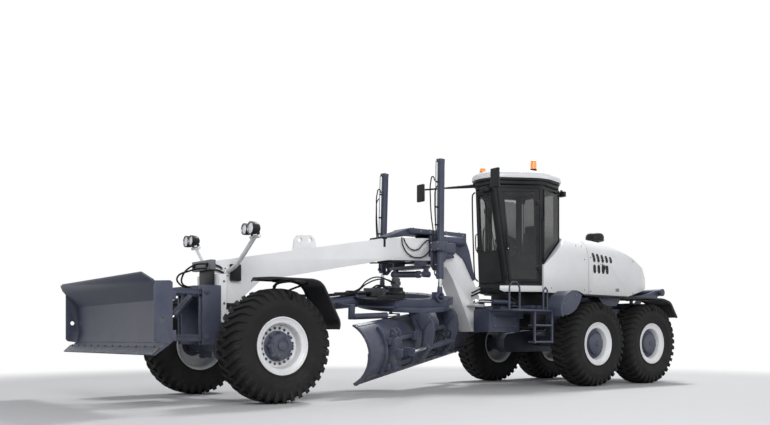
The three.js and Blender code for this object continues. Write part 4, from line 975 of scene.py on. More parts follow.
def makeHeadlamps():
    post = [tube([(0.185, -3.88, 1.77), (0.42, -3.88, 1.83), (0.885, -3.85, 2.185)], 0.031, 24),
            slab((0.1603, -3.935, 1.715), (0.190, -3.825, 1.825), 0.006),
            bar((0.775, -3.85, 2.185), (1.02, -3.85, 2.185), 0.022, 24)]
    housings, lenses, rings = [], [], []
    for x in lamp["places"]:
        centre = (x, lamp["back"], lamp["height"])
        r = lamp["radius"] if x > 0.9 else lamp["radius"] * 0.9
        deep = lamp["back"] - lamp["front"]
        housings.append(turned([(0.0, 0.0), (r * 0.42, 0.004), (r * 0.74, 0.022), (r * 0.95, 0.055),
                (r, deep * 0.75), (r, deep), (r - 0.006, deep), (r - 0.010, deep - 0.012), (0.0, deep - 0.014)],
                centre, (0, -1, 0), 40))
        housings.append(slab((x - 0.014, -3.865, 2.18), (x + 0.014, -3.835, 2.24), 0.003))
        lenses.append(turned([(0.0, deep - 0.004), (r * 0.5, deep - 0.006), (r - 0.011, deep - 0.011),
                (0.0, deep - 0.013)], centre, (0, -1, 0), 40))
        rings.append(turned([(r - 0.012, deep - 0.011), (r - 0.006, deep + 0.001), (r - 0.011, deep + 0.002),
                (r - 0.016, deep - 0.008)], centre, (0, -1, 0), 40))
    bothSides("headlamp_post", together(*post), "front_frame", whitePaint, "headlamp_{}")
    bothSides("headlamp_housing", together(*housings), "front_frame", blackPaint)
    bothSides("headlamp_lens", together(*lenses), "front_frame", clearLens)
    bothSides("headlamp_ring", together(*rings), "front_frame", zincSteel)
    bothSides("headlamp_foot_bolts", boltHeads([(0.191, y, z) for y in (-3.92, -3.84) for z in (1.73, 1.81)],
            (1, 0, 0), 0.008), "front_frame", zincSteel)


# axle, knuckles and tie rod

axle = {"height": 0.745, "y": -3.74, "kingpin": 0.88}


def makeAxle():
    body = refined("front_axle", bevel=0.008, segments=3)
    centre = (0, axle["y"], axle["height"])
    bowl = turned([(0.0, -0.205), (0.06, -0.204), (0.10, -0.190), (0.175, -0.165), (0.185, -0.150), (0.222, -0.146),
            (0.224, 0.146), (0.185, 0.150), (0.150, 0.196), (0.09, 0.205), (0.0, 0.207)], centre, (0, 1, 0), 56)
    shown(together(body, bowl), "front_axle_beam", "front_frame", navyPaint, "front_axle")
    heads = [boltHeads(ringPlaces((0, axle["y"] + s * 0.148, axle["height"]), (0, 1, 0), 0.203, 16), (0, s, 0),
            0.010) for s in (1, -1)]
    shown(together(*heads), "front_axle_bolts", "front_frame", zincSteel)
    knuckle = refined("steering_knuckle_left", bevel=0.006, segments=3)
    cap = turned([(0.0, 0.342), (0.040, 0.342), (0.060, 0.330), (0.062, 0.322), (0.0, 0.322)],
            (axle["kingpin"], axle["y"], axle["height"] - 0.122), (0, 0, 1), 32)
    bothSides("steering_knuckle_casting", together(knuckle, cap), "steer_knuckle_{}", navyPaint,
            "steering_knuckle_{}")
    shown(refined("tie_rod", bevel=0.004, segments=3), "steering_tie_rod", "tie_rod", navyPaint, "tie_rod")


# fenders: a sheet drawn along its side view, rounded at its corners, with a folded lip

def sheetFender(outline, x0, x1, wall, radius, centre, lip=0.965):
    piece = drawn([Vector((x0, y, z)) for y, z in outline])
    everything()
    bpy.ops.mesh.extrude_region_move(TRANSFORM_OT_translate={"value": (x1 - x0, 0, 0)})
    ends = (Vector(outline[0]), Vector(outline[-1]))
    choose(lambda e: along(e, 0) and all((middle(e).yz - end).length > 0.01 for end in ends), "EDGE")
    bpy.ops.mesh.bevel(offset=radius, segments=6, affect="EDGES", clamp_overlap=True)
    choose(lambda e: not along(e, 0) and (abs(middle(e).x - x1) < 1e-4 or abs(middle(e).x - x0) < 1e-4), "EDGE")
    bpy.ops.mesh.extrude_edges_move(TRANSFORM_OT_translate={"value": (0, 0, 0)})
    bpy.ops.transform.resize(value=(1, lip, lip), center_override=centre)
    faceOut()
    done()
    modify(piece, "SOLIDIFY", thickness=wall, offset=0)
    soften(piece, wall * 0.25, 2, 40)
    smooth(piece, 40)
    return piece


frontFender = {"x0": 0.944, "x1": 1.452, "wall": 0.010, "radius": 0.085}


def makeFrontFenders():
    sheet = sheetFender([(-4.195, 1.598), (-3.92, 1.622), (-3.26, 1.622), (-3.14, 1.572), (-2.852, 1.050),
            (-2.880, 0.965)], frontFender["x0"], frontFender["x1"], frontFender["wall"], frontFender["radius"],
            (1.2, -3.74, 0.745), 0.972)
    for corner in sheet.data.vertices:
        if corner.co.y < -3.92:
            share = (frontFender["x1"] - corner.co.x) / (frontFender["x1"] - frontFender["x0"])
            corner.co.y += 0.26 * share * (-3.92 - corner.co.y) / 0.275
    stay = [tube([(0.885, -3.575, 0.84), (0.885, -3.575, 1.50), (0.96, -3.575, 1.575), (1.36, -3.575, 1.592)],
            0.020, 16), slab((0.857, -3.594, 0.811), (0.913, -3.55, 0.869), 0.004),
            slab((0.95, -3.62, 1.590), (1.38, -3.53, 1.604), 0.003),
            tube([(0.885, -3.575, 1.36), (0.95, -3.35, 1.50), (1.20, -3.22, 1.580)], 0.014, 12)]
    bothSides("front_fender_sheet", together(sheet, *stay), "steer_knuckle_{}", blackPaint, "front_fender_{}")
    bothSides("front_fender_bolts", boltHeads([(x, -3.575, 1.6285) for x in (1.02, 1.16, 1.30)], (0, 0, 1), 0.009),
            "steer_knuckle_{}", zincSteel)


# front dozer blade, its links and its cylinder

dozer = {"half": 1.60, "faceY": -5.35, "boltPitch": 0.26}


def makeDozer():
    half, face = dozer["half"], dozer["faceY"]
    blade = refined("dozer_blade", bevel=0.006, segments=2)
    blade = drilled(blade, ((half - 0.06, face - 0.09, 1.06), (half + 0.03, face - 0.09, 1.06), 0.030),
            ((-half - 0.03, face - 0.09, 1.06), (-half + 0.06, face - 0.09, 1.06), 0.030))
    ribs = [plate([(face + 0.006, 0.80), (face + 0.09, 0.83), (face + 0.09, 1.38), (face - 0.16, 1.56),
            (face - 0.18, 1.53), (face + 0.02, 1.30)], 0, x, x + 0.014, 0.002)
            for x in (-1.25, -0.78, 0.766, 1.236)]
    rail = slab((-1.44, face - 0.283, 1.578), (1.44, face - 0.256, 1.606), 0.006)
    shown(together(blade, *ribs, rail), "front_blade_shell", "dozer_blade", navyPaint, "dozer_blade")
    edge = plate([(face - 0.203, 0.651), (face - 0.108, 0.741), (face - 0.118, 0.752), (face - 0.213, 0.662)], 0,
            -half + 0.012, half - 0.012, 0.002)
    joints = [slab((x - 0.002, face - 0.215, 0.655), (x + 0.002, face - 0.207, 0.664), 0) for x in (-0.80, 0, 0.80)]
    shown(together(edge, *joints), "front_blade_cutting_edge", "dozer_blade", edgeSteel)
    count = int(2 * half / dozer["boltPitch"])
    heads = boltHeads(rowPlaces((-half + 0.14, face - 0.128, 0.747), (half - 0.14, face - 0.128, 0.747), count),
            (0, -0.69, 0.72), 0.013, False)
    shown(heads, "front_blade_bolts", "dozer_blade", edgeSteel)
    shown(refined("nose_bracket", bevel=0.006, segments=2), "nose_bracket_plates", "front_frame", navyPaint,
            "nose_bracket")
    for node in ("dozer_lower_link", "dozer_upper_link"):
        shown(refined(node, bevel=0.006, segments=2), f"{node}_arms", node, navyPaint, node)
    pins = []
    for side in (1, -1):
        for y in (-4.30, -5.20):
            for z in (0.85, 1.47):
                wide = 0.070 if y > -5 else 0.050
                for s in (1, -1):
                    pins.append((side * 0.33 + s * wide, y, z, s, y > -5))
    for carried, body in ((True, "front_frame"), (False, "dozer_blade")):
        caps = [bar((x, y, z), (x + s * 0.012, y, z), 0.038, 24, 0.003) for x, y, z, s, fixed in pins
                if fixed == carried]
        caps += [boltHeads([(x + s * 0.012, y, z)], (s, 0, 0), 0.011, False) for x, y, z, s, fixed in pins
                if fixed == carried]
        shown(together(*caps), f"link_pin_caps_{body}", body, navyPaint)
    top, foot = Vector((0, -4.30, 1.46)), Vector((0, -4.858, 0.86))
    run = (foot - top).normalized()
    barrel = turned([(0.0, 0.055), (0.042, 0.055), (0.050, 0.065), (0.050, 0.315), (0.056, 0.322), (0.056, 0.415),
            (0.050, 0.425), (0.0275, 0.427), (0.0275, 0.12), (0.0, 0.12)], top, run, 40)
    eye = turned([(0.025, -0.032), (0.053, -0.032), (0.058, -0.027), (0.058, 0.027), (0.053, 0.032),
            (0.025, 0.032)], top, (1, 0, 0), 40)
    sleeve = turned([(0.025, -0.066), (0.038, -0.066), (0.038, 0.066), (0.025, 0.066)], top, (1, 0, 0), 32)
    shown(together(barrel, eye, sleeve), "dozer_cylinder_body", "dozer_barrel", navyPaint, "dozer_barrel")
    length = (foot - top).length
    shown(bar(top + run * 0.18, top + run * (length - 0.06), 0.0255, 32, 0.002), "dozer_cylinder_shaft",
            "dozer_rod", chromeRod, "dozer_rod")
    shown(turned([(0.055, -0.028), (0.074, -0.028), (0.078, -0.024), (0.078, 0.024), (0.074, 0.028),
            (0.055, 0.028)], foot, (1, 0, 0), 48), "dozer_cylinder_eye", "dozer_rod", navyPaint)


makeFrontFrame()
makeFrontHoses()
makeSaddle()
makeLiftCylinders()
makeHeadlamps()
print("front frame made")
makeAxle()
makeFrontFenders()
makeDozer()
print("axle, fenders and dozer blade made")


# drawbar, circle and grading blade, drawn level and then hung as they are parked

hang = {"ball": (0, -3.34, 1.23), "pitch": 3.2, "roll": 7.3, "circleY": -0.59, "turn": -64}


def hung(piece, turning=False):
    ball = Vector(hang["ball"])
    change = (Matrix.Translation(ball) @ Matrix.Rotation(math.radians(hang["pitch"]), 4,
            "X") @ Matrix.Rotation(math.radians(hang["roll"]), 4, "Y") @ Matrix.Translation(-ball))
    if turning:
        change = change @ Matrix.Translation((0, hang["circleY"], 0)) @ Matrix.Rotation(math.radians(hang["turn"]),
                4, "Z")
    pick(piece)
    piece.matrix_world = change @ piece.matrix_world
    settle()
    return piece


def makeDrawbar():
    gear = [turned([(0.0, 0.0), (0.150, 0.0), (0.155, 0.006), (0.155, 0.10), (0.120, 0.125), (0.118, 0.17),
            (0.0, 0.172)], (0.34, -1.04, 1.392), (0, 0, 1), 48),
            plate([(-0.40, -1.66), (0.40, -1.66), (0.60, -1.30), (0.56, -0.98), (-0.56, -0.98), (-0.60, -1.30)], 2,
            1.388, 1.402, 0.004), slab((-0.05, -1.95, 1.43), (0.05, -1.20, 1.475), 0.010)]
    gear += [plate([(-1.62, 1.39), (-1.05, 1.39), (-1.05, 1.45), (-1.50, 1.47)], 0, x, x + 0.02, 0.003)
            for x in (-0.34, -0.02, 0.54)]
    shown(hung(together(*gear)), "drawbar_top_frame", "drawbar", blackPaint)
    motor = together(turned([(0.0, 0.0), (0.066, 0.0), (0.066, 0.14), (0.050, 0.155), (0.0, 0.157)],
            (0.34, -1.04, 1.56), (0, 0, 1), 32), slab((0.27, -1.09, 1.60), (0.41, -0.99, 1.66), 0.008),
            slab((-0.16, -1.30, 1.402), (0.08, -1.08, 1.52), 0.010))
    shown(hung(motor), "circle_drive_motor", "drawbar", ironPaint)
    body = refined("drawbar", bevel=0.007, segments=3)
    navy = [bar((0.47, -1.95, 1.150), (0.50, -1.36, 1.148), 0.046, 40, 0.004),
            bar((0.497, -1.42, 1.148), (0.502, -1.33, 1.148), 0.050, 40, 0.004),
            slab((0.44, -2.02, 1.11), (0.50, -1.93, 1.335), 0.006),
            slab((0.05, -2.01, 1.285), (0.46, -1.94, 1.33), 0.006), slab((0.486, -1.165, 1.116),
            (0.535, -1.085, 1.174), 0.006), slab((0.275, -1.098, 1.130), (0.50, -1.062, 1.160), 0.004),
            slab((0.27, -1.10, 1.128), (0.31, -1.06, 1.395), 0.004),
            plate([(0.13, -1.62), (0.56, -1.33), (0.56, -1.22), (0.13, -1.22)], 2, 1.262, 1.288, 0.004),
            turned([(0.102, 0.0), (0.128, 0.0), (0.128, 0.022), (0.102, 0.022)], (0, -2.92, 1.345), (0, 1, 0), 48),
            turned([(0.101, 0.0), (0.112, 0.0), (0.112, 0.06), (0.101, 0.06)], (0, -1.62, 1.345), (0, 1, 0), 48)]
    shown(together(body, *[hung(piece) for piece in navy]), "drawbar_body", "drawbar", navyPaint, "drawbar")
    rod = bar((0.499, -1.40, 1.148), (0.512, -1.13, 1.146), 0.025, 32, 0.002)
    shown(hung(rod), "drawbar_cylinder_rod", "drawbar", chromeRod)
    heads = [boltHeads(ringPlaces((0.34, -1.04, 1.492), (0, 0, 1), 0.137, 12), (0, 0, 1), 0.010),
            boltHeads(ringPlaces((0, hang["circleY"], 1.3915), (0, 0, 1), 0.60, 20), (0, 0, 1), 0.013)]
    shown(hung(together(*heads)), "drawbar_bolts", "drawbar", zincSteel)
    lines = [hose([(0.30, -1.08, 1.64), (0.22, -1.30, 1.72), (0.10, -1.42, 1.66), (0.05, -1.55, 1.52),
            (0.06, -1.95, 1.462), (0.07, -2.50, 1.455), (0.05, -2.95, 1.46)], 0.012),
            hose([(0.38, -1.08, 1.64), (0.36, -1.34, 1.70), (0.18, -1.48, 1.62), (0.10, -1.62, 1.49),
            (0.10, -1.95, 1.445), (0.105, -2.50, 1.437), (0.08, -2.95, 1.45)], 0.012),
            hose([(-0.04, -1.18, 1.51), (-0.02, -1.05, 1.55), (0.00, -0.86, 1.48), (0.02, -0.66, 1.40),
            (0.02, -0.59, 1.28)], 0.014), hose([(-0.10, -1.18, 1.51), (-0.12, -1.02, 1.56), (-0.06, -0.84, 1.49),
            (-0.02, -0.68, 1.40), (-0.02, -0.59, 1.28)], 0.014)]
    shown(hung(together(*lines)), "drawbar_hoses", "drawbar", hoseRubber)


circleGear = {"teeth": 48, "inner": 0.652, "low": 1.186, "high": 1.262}


def makeCircle():
    gear = refined("circle", bevel=0.005, segments=2)
    tooth = plate([(-0.022, 0.0), (0.022, 0.0), (0.011, -0.034), (-0.011, -0.034)], 2, circleGear["low"] + 0.006,
            circleGear["high"] - 0.004, 0)
    pick(tooth)
    bpy.ops.transform.translate(value=(0, circleGear["inner"], 0))
    settle()
    teeth = [copied(tooth, turn=math.tau * i / circleGear["teeth"]) for i in range(circleGear["teeth"])]
    drop(tooth)
    arms = []
    for side in (1, -1):
        x = side * 0.5
        arms.append(plate([(0.33, 1.19), (0.68, 1.19), (0.755, 1.08), (0.785, 0.93), (0.765, 0.76), (0.705, 0.60),
                (0.635, 0.48), (0.592, 0.395), (0.50, 0.395), (0.545, 0.52), (0.600, 0.66), (0.618, 0.80),
                (0.595, 0.93), (0.52, 1.04), (0.40, 1.12)], 0, x - 0.042, x + 0.042, 0.006))
        arms.append(plate([(0.56, 1.185), (0.74, 1.10), (0.60, 0.93), (0.52, 1.04)], 0, x - 0.075, x + 0.075, 0.005))
        arms.append(turned([(0.0, -0.052), (0.062, -0.052), (0.066, -0.048), (0.066, 0.048), (0.062, 0.052),
                (0.0, 0.052)], (x, 0.672, 0.66), (1, 0, 0), 40))
    barrel = turned([(0.0, -0.48), (0.044, -0.48), (0.048, -0.475), (0.048, 0.50), (0.054, 0.505), (0.054, 0.555),
            (0.048, 0.56), (0.028, 0.56), (0.028, -0.40), (0.0, -0.40)], (0, 0.68, 0.66), (1, 0, 0), 40)
    arms.append(barrel)
    shown(together(gear, *[hung(piece, True) for piece in (*teeth, *arms)]), "circle_body", "circle", navyPaint,
            "circle")
    lines = [hose([(0.02, 0.04, 1.24), (0.04, 0.16, 1.10), (0.02, 0.40, 0.98), (-0.04, 0.60, 0.84),
            (-0.10, 0.70, 0.76), (-0.12, 0.70, 0.71)], 0.013),
            hose([(-0.02, 0.04, 1.24), (0.0, 0.20, 1.06), (0.10, 0.46, 0.96), (0.24, 0.66, 0.84),
            (0.33, 0.72, 0.76), (0.34, 0.70, 0.71)], 0.013),
            hose([(-0.34, 0.70, 0.71), (-0.33, 0.73, 0.80), (-0.10, 0.72, 0.86), (0.12, 0.70, 0.80),
            (0.20, 0.70, 0.71)], 0.010)]
    shown(hung(together(*lines), True), "circle_hoses", "circle", hoseRubber)
    pins = [boltHeads([(side * 0.5 + s * 0.043, 0.70, 1.13), (side * 0.5 + s * 0.043, 0.60, 0.50)], (s, 0, 0),
            0.014) for side in (1, -1) for s in (1, -1)]
    shown(hung(together(*pins), True), "circle_bolts", "circle", zincSteel)


blade = {"centre": (-0.1054, 0.6405), "radius": 0.48, "wall": 0.026, "half": 1.0844, "lean": 0.0613,
        "start": -2.055, "end": 1.945, "edge": 0.30}


def arcBand(inner, outer, first, last, count=10):
    # an outline between two arcs of the blade's section
    y0, z0 = blade["centre"]
    angles = [first + (last - first) * i / count for i in range(count + 1)]
    return ([(y0 + inner * math.cos(a), z0 + inner * math.sin(a)) for a in angles]
            + [(y0 + outer * math.cos(a), z0 + outer * math.sin(a)) for a in reversed(angles)])


def makeBlade():
    low, high = -blade["half"] + blade["lean"], blade["half"] + blade["lean"]
    r, back = blade["radius"], blade["radius"] + blade["wall"]
    navy = []
    for x, proud in ((1.44, 0.050), (-1.40, 0.004)):
        navy.append(plate(arcBand(back - 0.004, back + proud, low + 0.38, high - 0.32), 0, x, x + 0.028, 0.003))
    for x0, x1 in ((1.94, 1.90), (-2.05, -2.01)):
        navy.append(plate(arcBand(back - 0.004, back + 0.012, low + 0.04, high - 0.03), 0, x0, x1, 0.002))
    navy.append(plate(arcBand(back - 0.004, back + 0.005, high - 0.14, high - 0.02, 4), 0, -1.98, 1.87, 0.003))
    navy.append(plate(arcBand(back - 0.004, back + 0.014, low + 0.30, low + 0.40, 4), 0, -1.98, 1.87, 0.003))
    box = [slab((1.13, 0.38, 0.395), (1.372, 0.522, 0.885), 0.008),
            slab((1.13, 0.44, 0.60), (1.166, 0.745, 0.725), 0.008), slab((1.335, 0.44, 0.60), (1.371, 0.640, 0.725),
            0.008)]
    for x in (1.16, 1.30):
        ear = plate([(0.40, 0.87), (0.40, 0.98), (0.43, 1.01), (0.47, 1.01), (0.51, 0.96), (0.52, 0.87)], 0, x,
                x + 0.024, 0.003)
        box.append(drilled(ear, ((x - 0.02, 0.455, 0.955), (x + 0.05, 0.455, 0.955), 0.022)))
    for z in (0.4505, 0.8305):
        box.append(slab((1.372, 0.385, z - 0.05), (1.43, 0.47, z + 0.05), 0.005))
        box.append(slab((-1.21, 0.385, z - 0.05), (-1.15, 0.47, z + 0.05), 0.005))
    navy.append(turned([(0.0, -0.036), (0.050, -0.036), (0.054, -0.032), (0.054, 0.032), (0.050, 0.036),
            (0.0, 0.036)], (1.148, 0.68, 0.66), (1, 0, 0), 40))
    shell = refined("grading_blade", bevel=0.004, segments=2)
    shown(together(shell, *[hung(piece, True) for piece in (*navy, *box)]), "blade_shell", "blade", navyPaint,
            "grading_blade")
    tips = blade["start"] + 0.002, blade["end"] - 0.002
    edge = [plate(arcBand(r - 0.017, r + 0.001, low - 0.01, low + blade["edge"], 4), 0, *tips, 0.002)]
    for x0, x1 in ((blade["end"] - 0.16, blade["end"] - 0.001), (blade["start"] + 0.001, blade["start"] + 0.16)):
        edge.append(plate(arcBand(r - 0.014, r + 0.001, low + blade["edge"] + 0.02, low + 1.15, 6), 0, x0, x1, 0.002))
    shown(hung(together(*edge), True), "blade_cutting_edge", "blade", edgeSteel)
    y0, z0 = blade["centre"]
    a = low + 0.17
    inner = [(x, y0 + (r - 0.017) * math.cos(a), z0 + (r - 0.017) * math.sin(a))
            for x in [blade["start"] + 0.12 + 0.235 * i for i in range(17)]]
    outer = [(x, y0 + back * math.cos(a), z0 + back * math.sin(a)) for x, _, _ in inner]
    heads = [boltHeads(inner, (0, -math.cos(a), -math.sin(a)), 0.011, False),
            boltHeads(outer, (0, math.cos(a), math.sin(a)), 0.013)]
    heads.append(boltHeads([(x, 0.5225, z) for x in (1.16, 1.34) for z in (0.43, 0.54, 0.78, 0.85)], (0, 1, 0),
            0.012))
    shown(hung(together(*heads), True), "blade_bolts", "blade", zincSteel)
    shown(hung(bar((0.30, 0.68, 0.66), (1.135, 0.68, 0.66), 0.0265, 32, 0.002), True), "side_shift_rod", "blade",
            chromeRod)


makeDrawbar()
makeCircle()
makeBlade()
print("drawbar, circle and blade made")


# cab

cab = {
    "front": (0.270, 1.360), "middle": (0.690, 2.030), "back": (0.500, 2.710), "depth": 0.67, "slope": 0.627,
    "lean": 0.22, "level": 2.68, "span": 1.76, "glass": 0.006,
}


def leaned(x, y, z):
    # the cab walls lean out towards the top, more so towards the front
    forward = min(max((cab["middle"][1] - y) / cab["depth"], 0), 1.2)
    level = min(max((z - cab["level"]) / cab["span"], -0.6), 0.6)
    move = cab["lean"] * forward * level
    wide = cab["middle"][0] - cab["slope"] * (cab["middle"][1] - y)
    return Vector((x - move * cab["slope"] * min(max(x / wide, -1), 1), y - move, z))


def onWall(start, end, share, z, out=0.0):
    # a place on the wall between two plan corners, out from its outer face
    start, end = Vector((*start, 0)), Vector((*end, 0))
    run = end - start
    normal = Vector((run.y, -run.x, 0)).normalized()
    place = start + run * share
    return leaned(place.x, place.y, z) + normal * out


def around(place, low, high, bevel):
    # a block about a place, given by how far it reaches down and up each axis
    return slab(place - Vector(low), place + Vector(high), bevel)


def wallPane(start, end, corners, out, thick, radius=0.0):
    # a pane that follows the leaning wall, its corners given as (share, z)
    piece = drawn([onWall(start, end, share, z, out) for share, z in corners])
    everything()
    bpy.ops.mesh.edge_face_add()
    if radius:
        bpy.ops.mesh.bevel(offset=radius, segments=5, affect="VERTICES")
    faceOut()
    done()
    modify(piece, "SOLIDIFY", thickness=thick, offset=0)
    smooth(piece, 30)
    return piece


def framed(start, end, low, high, corners, out, width, thick):
    # a black band round a pane
    piece = wallPane(start, end, corners, out, thick, 0.035)
    centre = onWall(start, end, (low[0] + high[0]) / 2, (low[1] + high[1]) / 2, out)
    hole = wallPane(start, end, corners, out, thick * 6, 0.035)
    pick(hole)
    edit()
    everything()
    span = (onWall(start, end, high[0], low[1]) - onWall(start, end, low[0], low[1])).length
    bpy.ops.transform.resize(value=(1 - 2 * width / span, 1 - 2 * width / span, 1 - 2 * width / (high[1] - low[1])),
            center_override=centre)
    done()
    cut(piece, hole)
    smooth(piece, 30)
    return piece


def makeDoors():
    start, end = cab["front"], cab["middle"]
    low, high = (0.105, 1.845), (0.925, 3.485)
    corners = [(low[0], low[1]), (high[0], low[1]), (high[0], high[1]), (low[0], high[1])]
    pane = wallPane(start, end, corners, 0.006, cab["glass"], 0.045)
    bothSides("door_glass", pane, "door_{}", paneGlass)
    band = framed(start, end, low, high, corners, 0.0105, 0.045, 0.003)
    clips = [around(onWall(start, end, 0.90, z, 0.012), (0.02, 0.03, 0.035), (0.016, 0.03, 0.035), 0.006)
            for z in (2.08, 3.24)]
    lock = around(onWall(start, end, 0.17, 2.46, 0.016), (0.014, 0.03, 0.055), (0.014, 0.03, 0.055), 0.006)
    pull = tube([onWall(start, end, 0.155, 2.44, 0.020), onWall(start, end, 0.155, 2.44, 0.058),
            onWall(start, end, 0.155, 2.74, 0.058), onWall(start, end, 0.155, 2.74, 0.012)], 0.010, 16)
    frame = refined("cab_door_left", bevel=0.005, segments=2)
    bothSides("door_frame", together(frame, band, *clips, lock, pull), "door_{}", blackPaint, "cab_door_{}")
    keys = bar(onWall(start, end, 0.17, 2.43, 0.028), onWall(start, end, 0.17, 2.43, 0.034), 0.010, 20, 0.001)
    bothSides("door_lock", keys, "door_{}", chromeRod)


def makeQuarterGlass():
    start, end = cab["middle"], cab["back"]
    corners = [(0.10, 2.20), (0.90, 2.62), (0.90, 3.47), (0.10, 3.47)]
    pane = wallPane(start, end, corners, 0.006, cab["glass"], 0.045)
    bothSides("quarter_glass", pane, "chassis", paneGlass)
    lowest = [(0.06, 1.86), (0.94, 1.86), (0.94, 2.50), (0.06, 2.05)]
    panel = wallPane(start, end, lowest, 0.006, 0.012, 0.02)
    seal = tube([onWall(start, end, *place, 0.010) for place in ((0.07, 3.50), (0.07, 2.16), (0.93, 2.60),
            (0.93, 3.50))], 0.010, 12)
    bothSides("quarter_panel", together(panel, seal), "chassis", blackPaint)


def makeWindshield():
    # the windshield itself is the frame's solid; round it a black ceramic band, a wiper and its motor
    left, right = (-cab["front"][0], cab["front"][1]), cab["front"]
    low, high = (0.08, 1.84), (0.92, 3.49)
    corners = [(low[0], low[1]), (high[0], low[1]), (high[0], high[1]), (low[0], high[1])]
    band = framed(left, right, low, high, corners, 0.004, 0.045, 0.005)
    panel = wallPane(left, right, [(0.10, 1.85), (0.90, 1.85), (0.90, 2.39), (0.10, 2.39)], 0.012, 0.010, 0.03)
    seal = tube([onWall(left, right, share, 2.395, 0.014) for share in (0.10, 0.5, 0.90)], 0.011, 12)
    motor = [panel, seal, around(leaned(0.09, 1.36, 3.48), (0.09, 0.085, 0.05), (0.09, 0.0, 0.055), 0.012)]
    pivot = leaned(0.09, 1.36, 3.46) - Vector((0, 0.095, 0))
    foot = leaned(0.13, 1.36, 2.72) - Vector((0, 0.022, 0))
    arm = tube([pivot, pivot - Vector((0, 0.012, 0.01)), (pivot + foot) / 2 - Vector((0, 0.02, 0)), foot], 0.007, 12)
    blade = tube([leaned(0.11, 1.36, 3.15) - Vector((0, 0.014, 0)),
            leaned(0.14, 1.36, 2.32) - Vector((0, 0.014, 0))], 0.008, 10)
    hub = bar(pivot + Vector((0, 0.02, 0)), pivot - Vector((0, 0.012, 0)), 0.018, 24, 0.002)
    lower = [tube([(-0.12, 1.49 - 0.02, 1.93), (0.02, 1.475, 2.02), (0.15, 1.45, 2.30)], 0.006, 10),
            bar((-0.12, 1.50, 1.93), (-0.12, 1.465, 1.93), 0.016, 20, 0.002)]
    shown(together(band, *motor, arm, blade, hub, *lower), "windshield_band", "chassis", blackPaint)
    shown(refined("windshield", bevel=0.002), "windshield_pane", "chassis", frontGlass, "windshield")
    shown(refined("rear_window", bevel=0.002), "rear_window_pane", "chassis", paneGlass, "rear_window")
    rear = tube([(-0.40, 2.716, 2.50), (0.40, 2.716, 2.50), (0.40, 2.716, 3.50), (-0.40, 2.716, 3.50),
            (-0.40, 2.716, 2.50)], 0.010, 12)
    shown(rear, "rear_window_seal", "chassis", blackPaint)


def makeFrame():
    shown(refined("cab_frame", bevel=0.006, segments=3), "cab_pillars", "chassis", blackPaint, "cab_frame")
    shown(refined("cab_floor", bevel=0.006), "cab_base", "chassis", blackPaint, "cab_floor")
    start, end = cab["front"], cab["middle"]
    sill = plate([(0.300, 1.352), (0.715, 2.015), (0.735, 2.16), (0.735, 2.20), (0.66, 2.20), (0.66, 2.05),
            (0.27, 1.42)], 2, 1.665, 1.775, 0.010)
    cover = plate([(0.725, 2.03), (0.738, 2.03), (0.560, 2.74), (0.530, 2.74)], 2, 1.70, 1.86, 0.004)
    bothSides("cab_sill", together(sill, cover), "chassis", whitePaint)
    rails = [tube([onWall(start, end, 0.01, 3.47, 0.012), onWall(start, end, 0.01, 3.44, 0.065),
            onWall(start, end, 0.01, 2.65, 0.080), onWall(start, end, 0.01, 1.94, 0.075),
            onWall(start, end, 0.01, 1.88, 0.012)], 0.013, 16)]
    rails += [tube([onWall(start, end, 1.0, 2.95, 0.015), onWall(start, end, 1.0, 2.92, 0.07),
            onWall(start, end, 1.0, 2.25, 0.07), onWall(start, end, 1.0, 2.22, 0.015)], 0.014, 16)]
    bothSides("cab_grab_rail", together(*rails), "chassis", blackPaint)


roof = {"brim": 3.672, "corner": 0.24}


def makeRoof():
    # a moulded roof: the plan outline drawn, rounded at its corners, raised ring by ring and crowned
    outline = [(0.270, 1.156), (0.778, 2.03), (0.575, 2.776)]
    outline = outline + [(-x, y) for x, y in reversed(outline)]
    shell = drawn([Vector((x, y, roof["brim"])) for x, y in outline])
    everything()
    bpy.ops.mesh.edge_face_add()
    bpy.ops.mesh.bevel(offset=roof["corner"], segments=10, affect="VERTICES")
    centre = (0, 1.98, 0)
    for rise, size in ((0.012, 1.006), (0.040, 0.998), (0.030, 0.988), (0.026, 0.968), (0.022, 0.940),
            (0.022, 0.900), (0.022, 0.845), (0.020, 0.770), (0.016, 0.680), (0.012, 0.560), (0.008, 0.40)):
        choose(lambda f: len(f.verts) > 12 and f.calc_center_median().z > top() - 1e-5)
        bpy.ops.mesh.extrude_region_move(TRANSFORM_OT_translate={"value": (0, 0, rise)})
        bpy.ops.transform.resize(value=(size, size, 1), center_override=centre)
    faceOut()
    done()
    smooth(shell, 50)
    shown(shell, "roof_shell", "chassis", whitePaint, "cab_roof")


def top():
    # the height of the highest corner of the mesh in edit mode
    return max(corner.co.z for corner in bmesh.from_edit_mesh(bpy.context.object.data).verts)


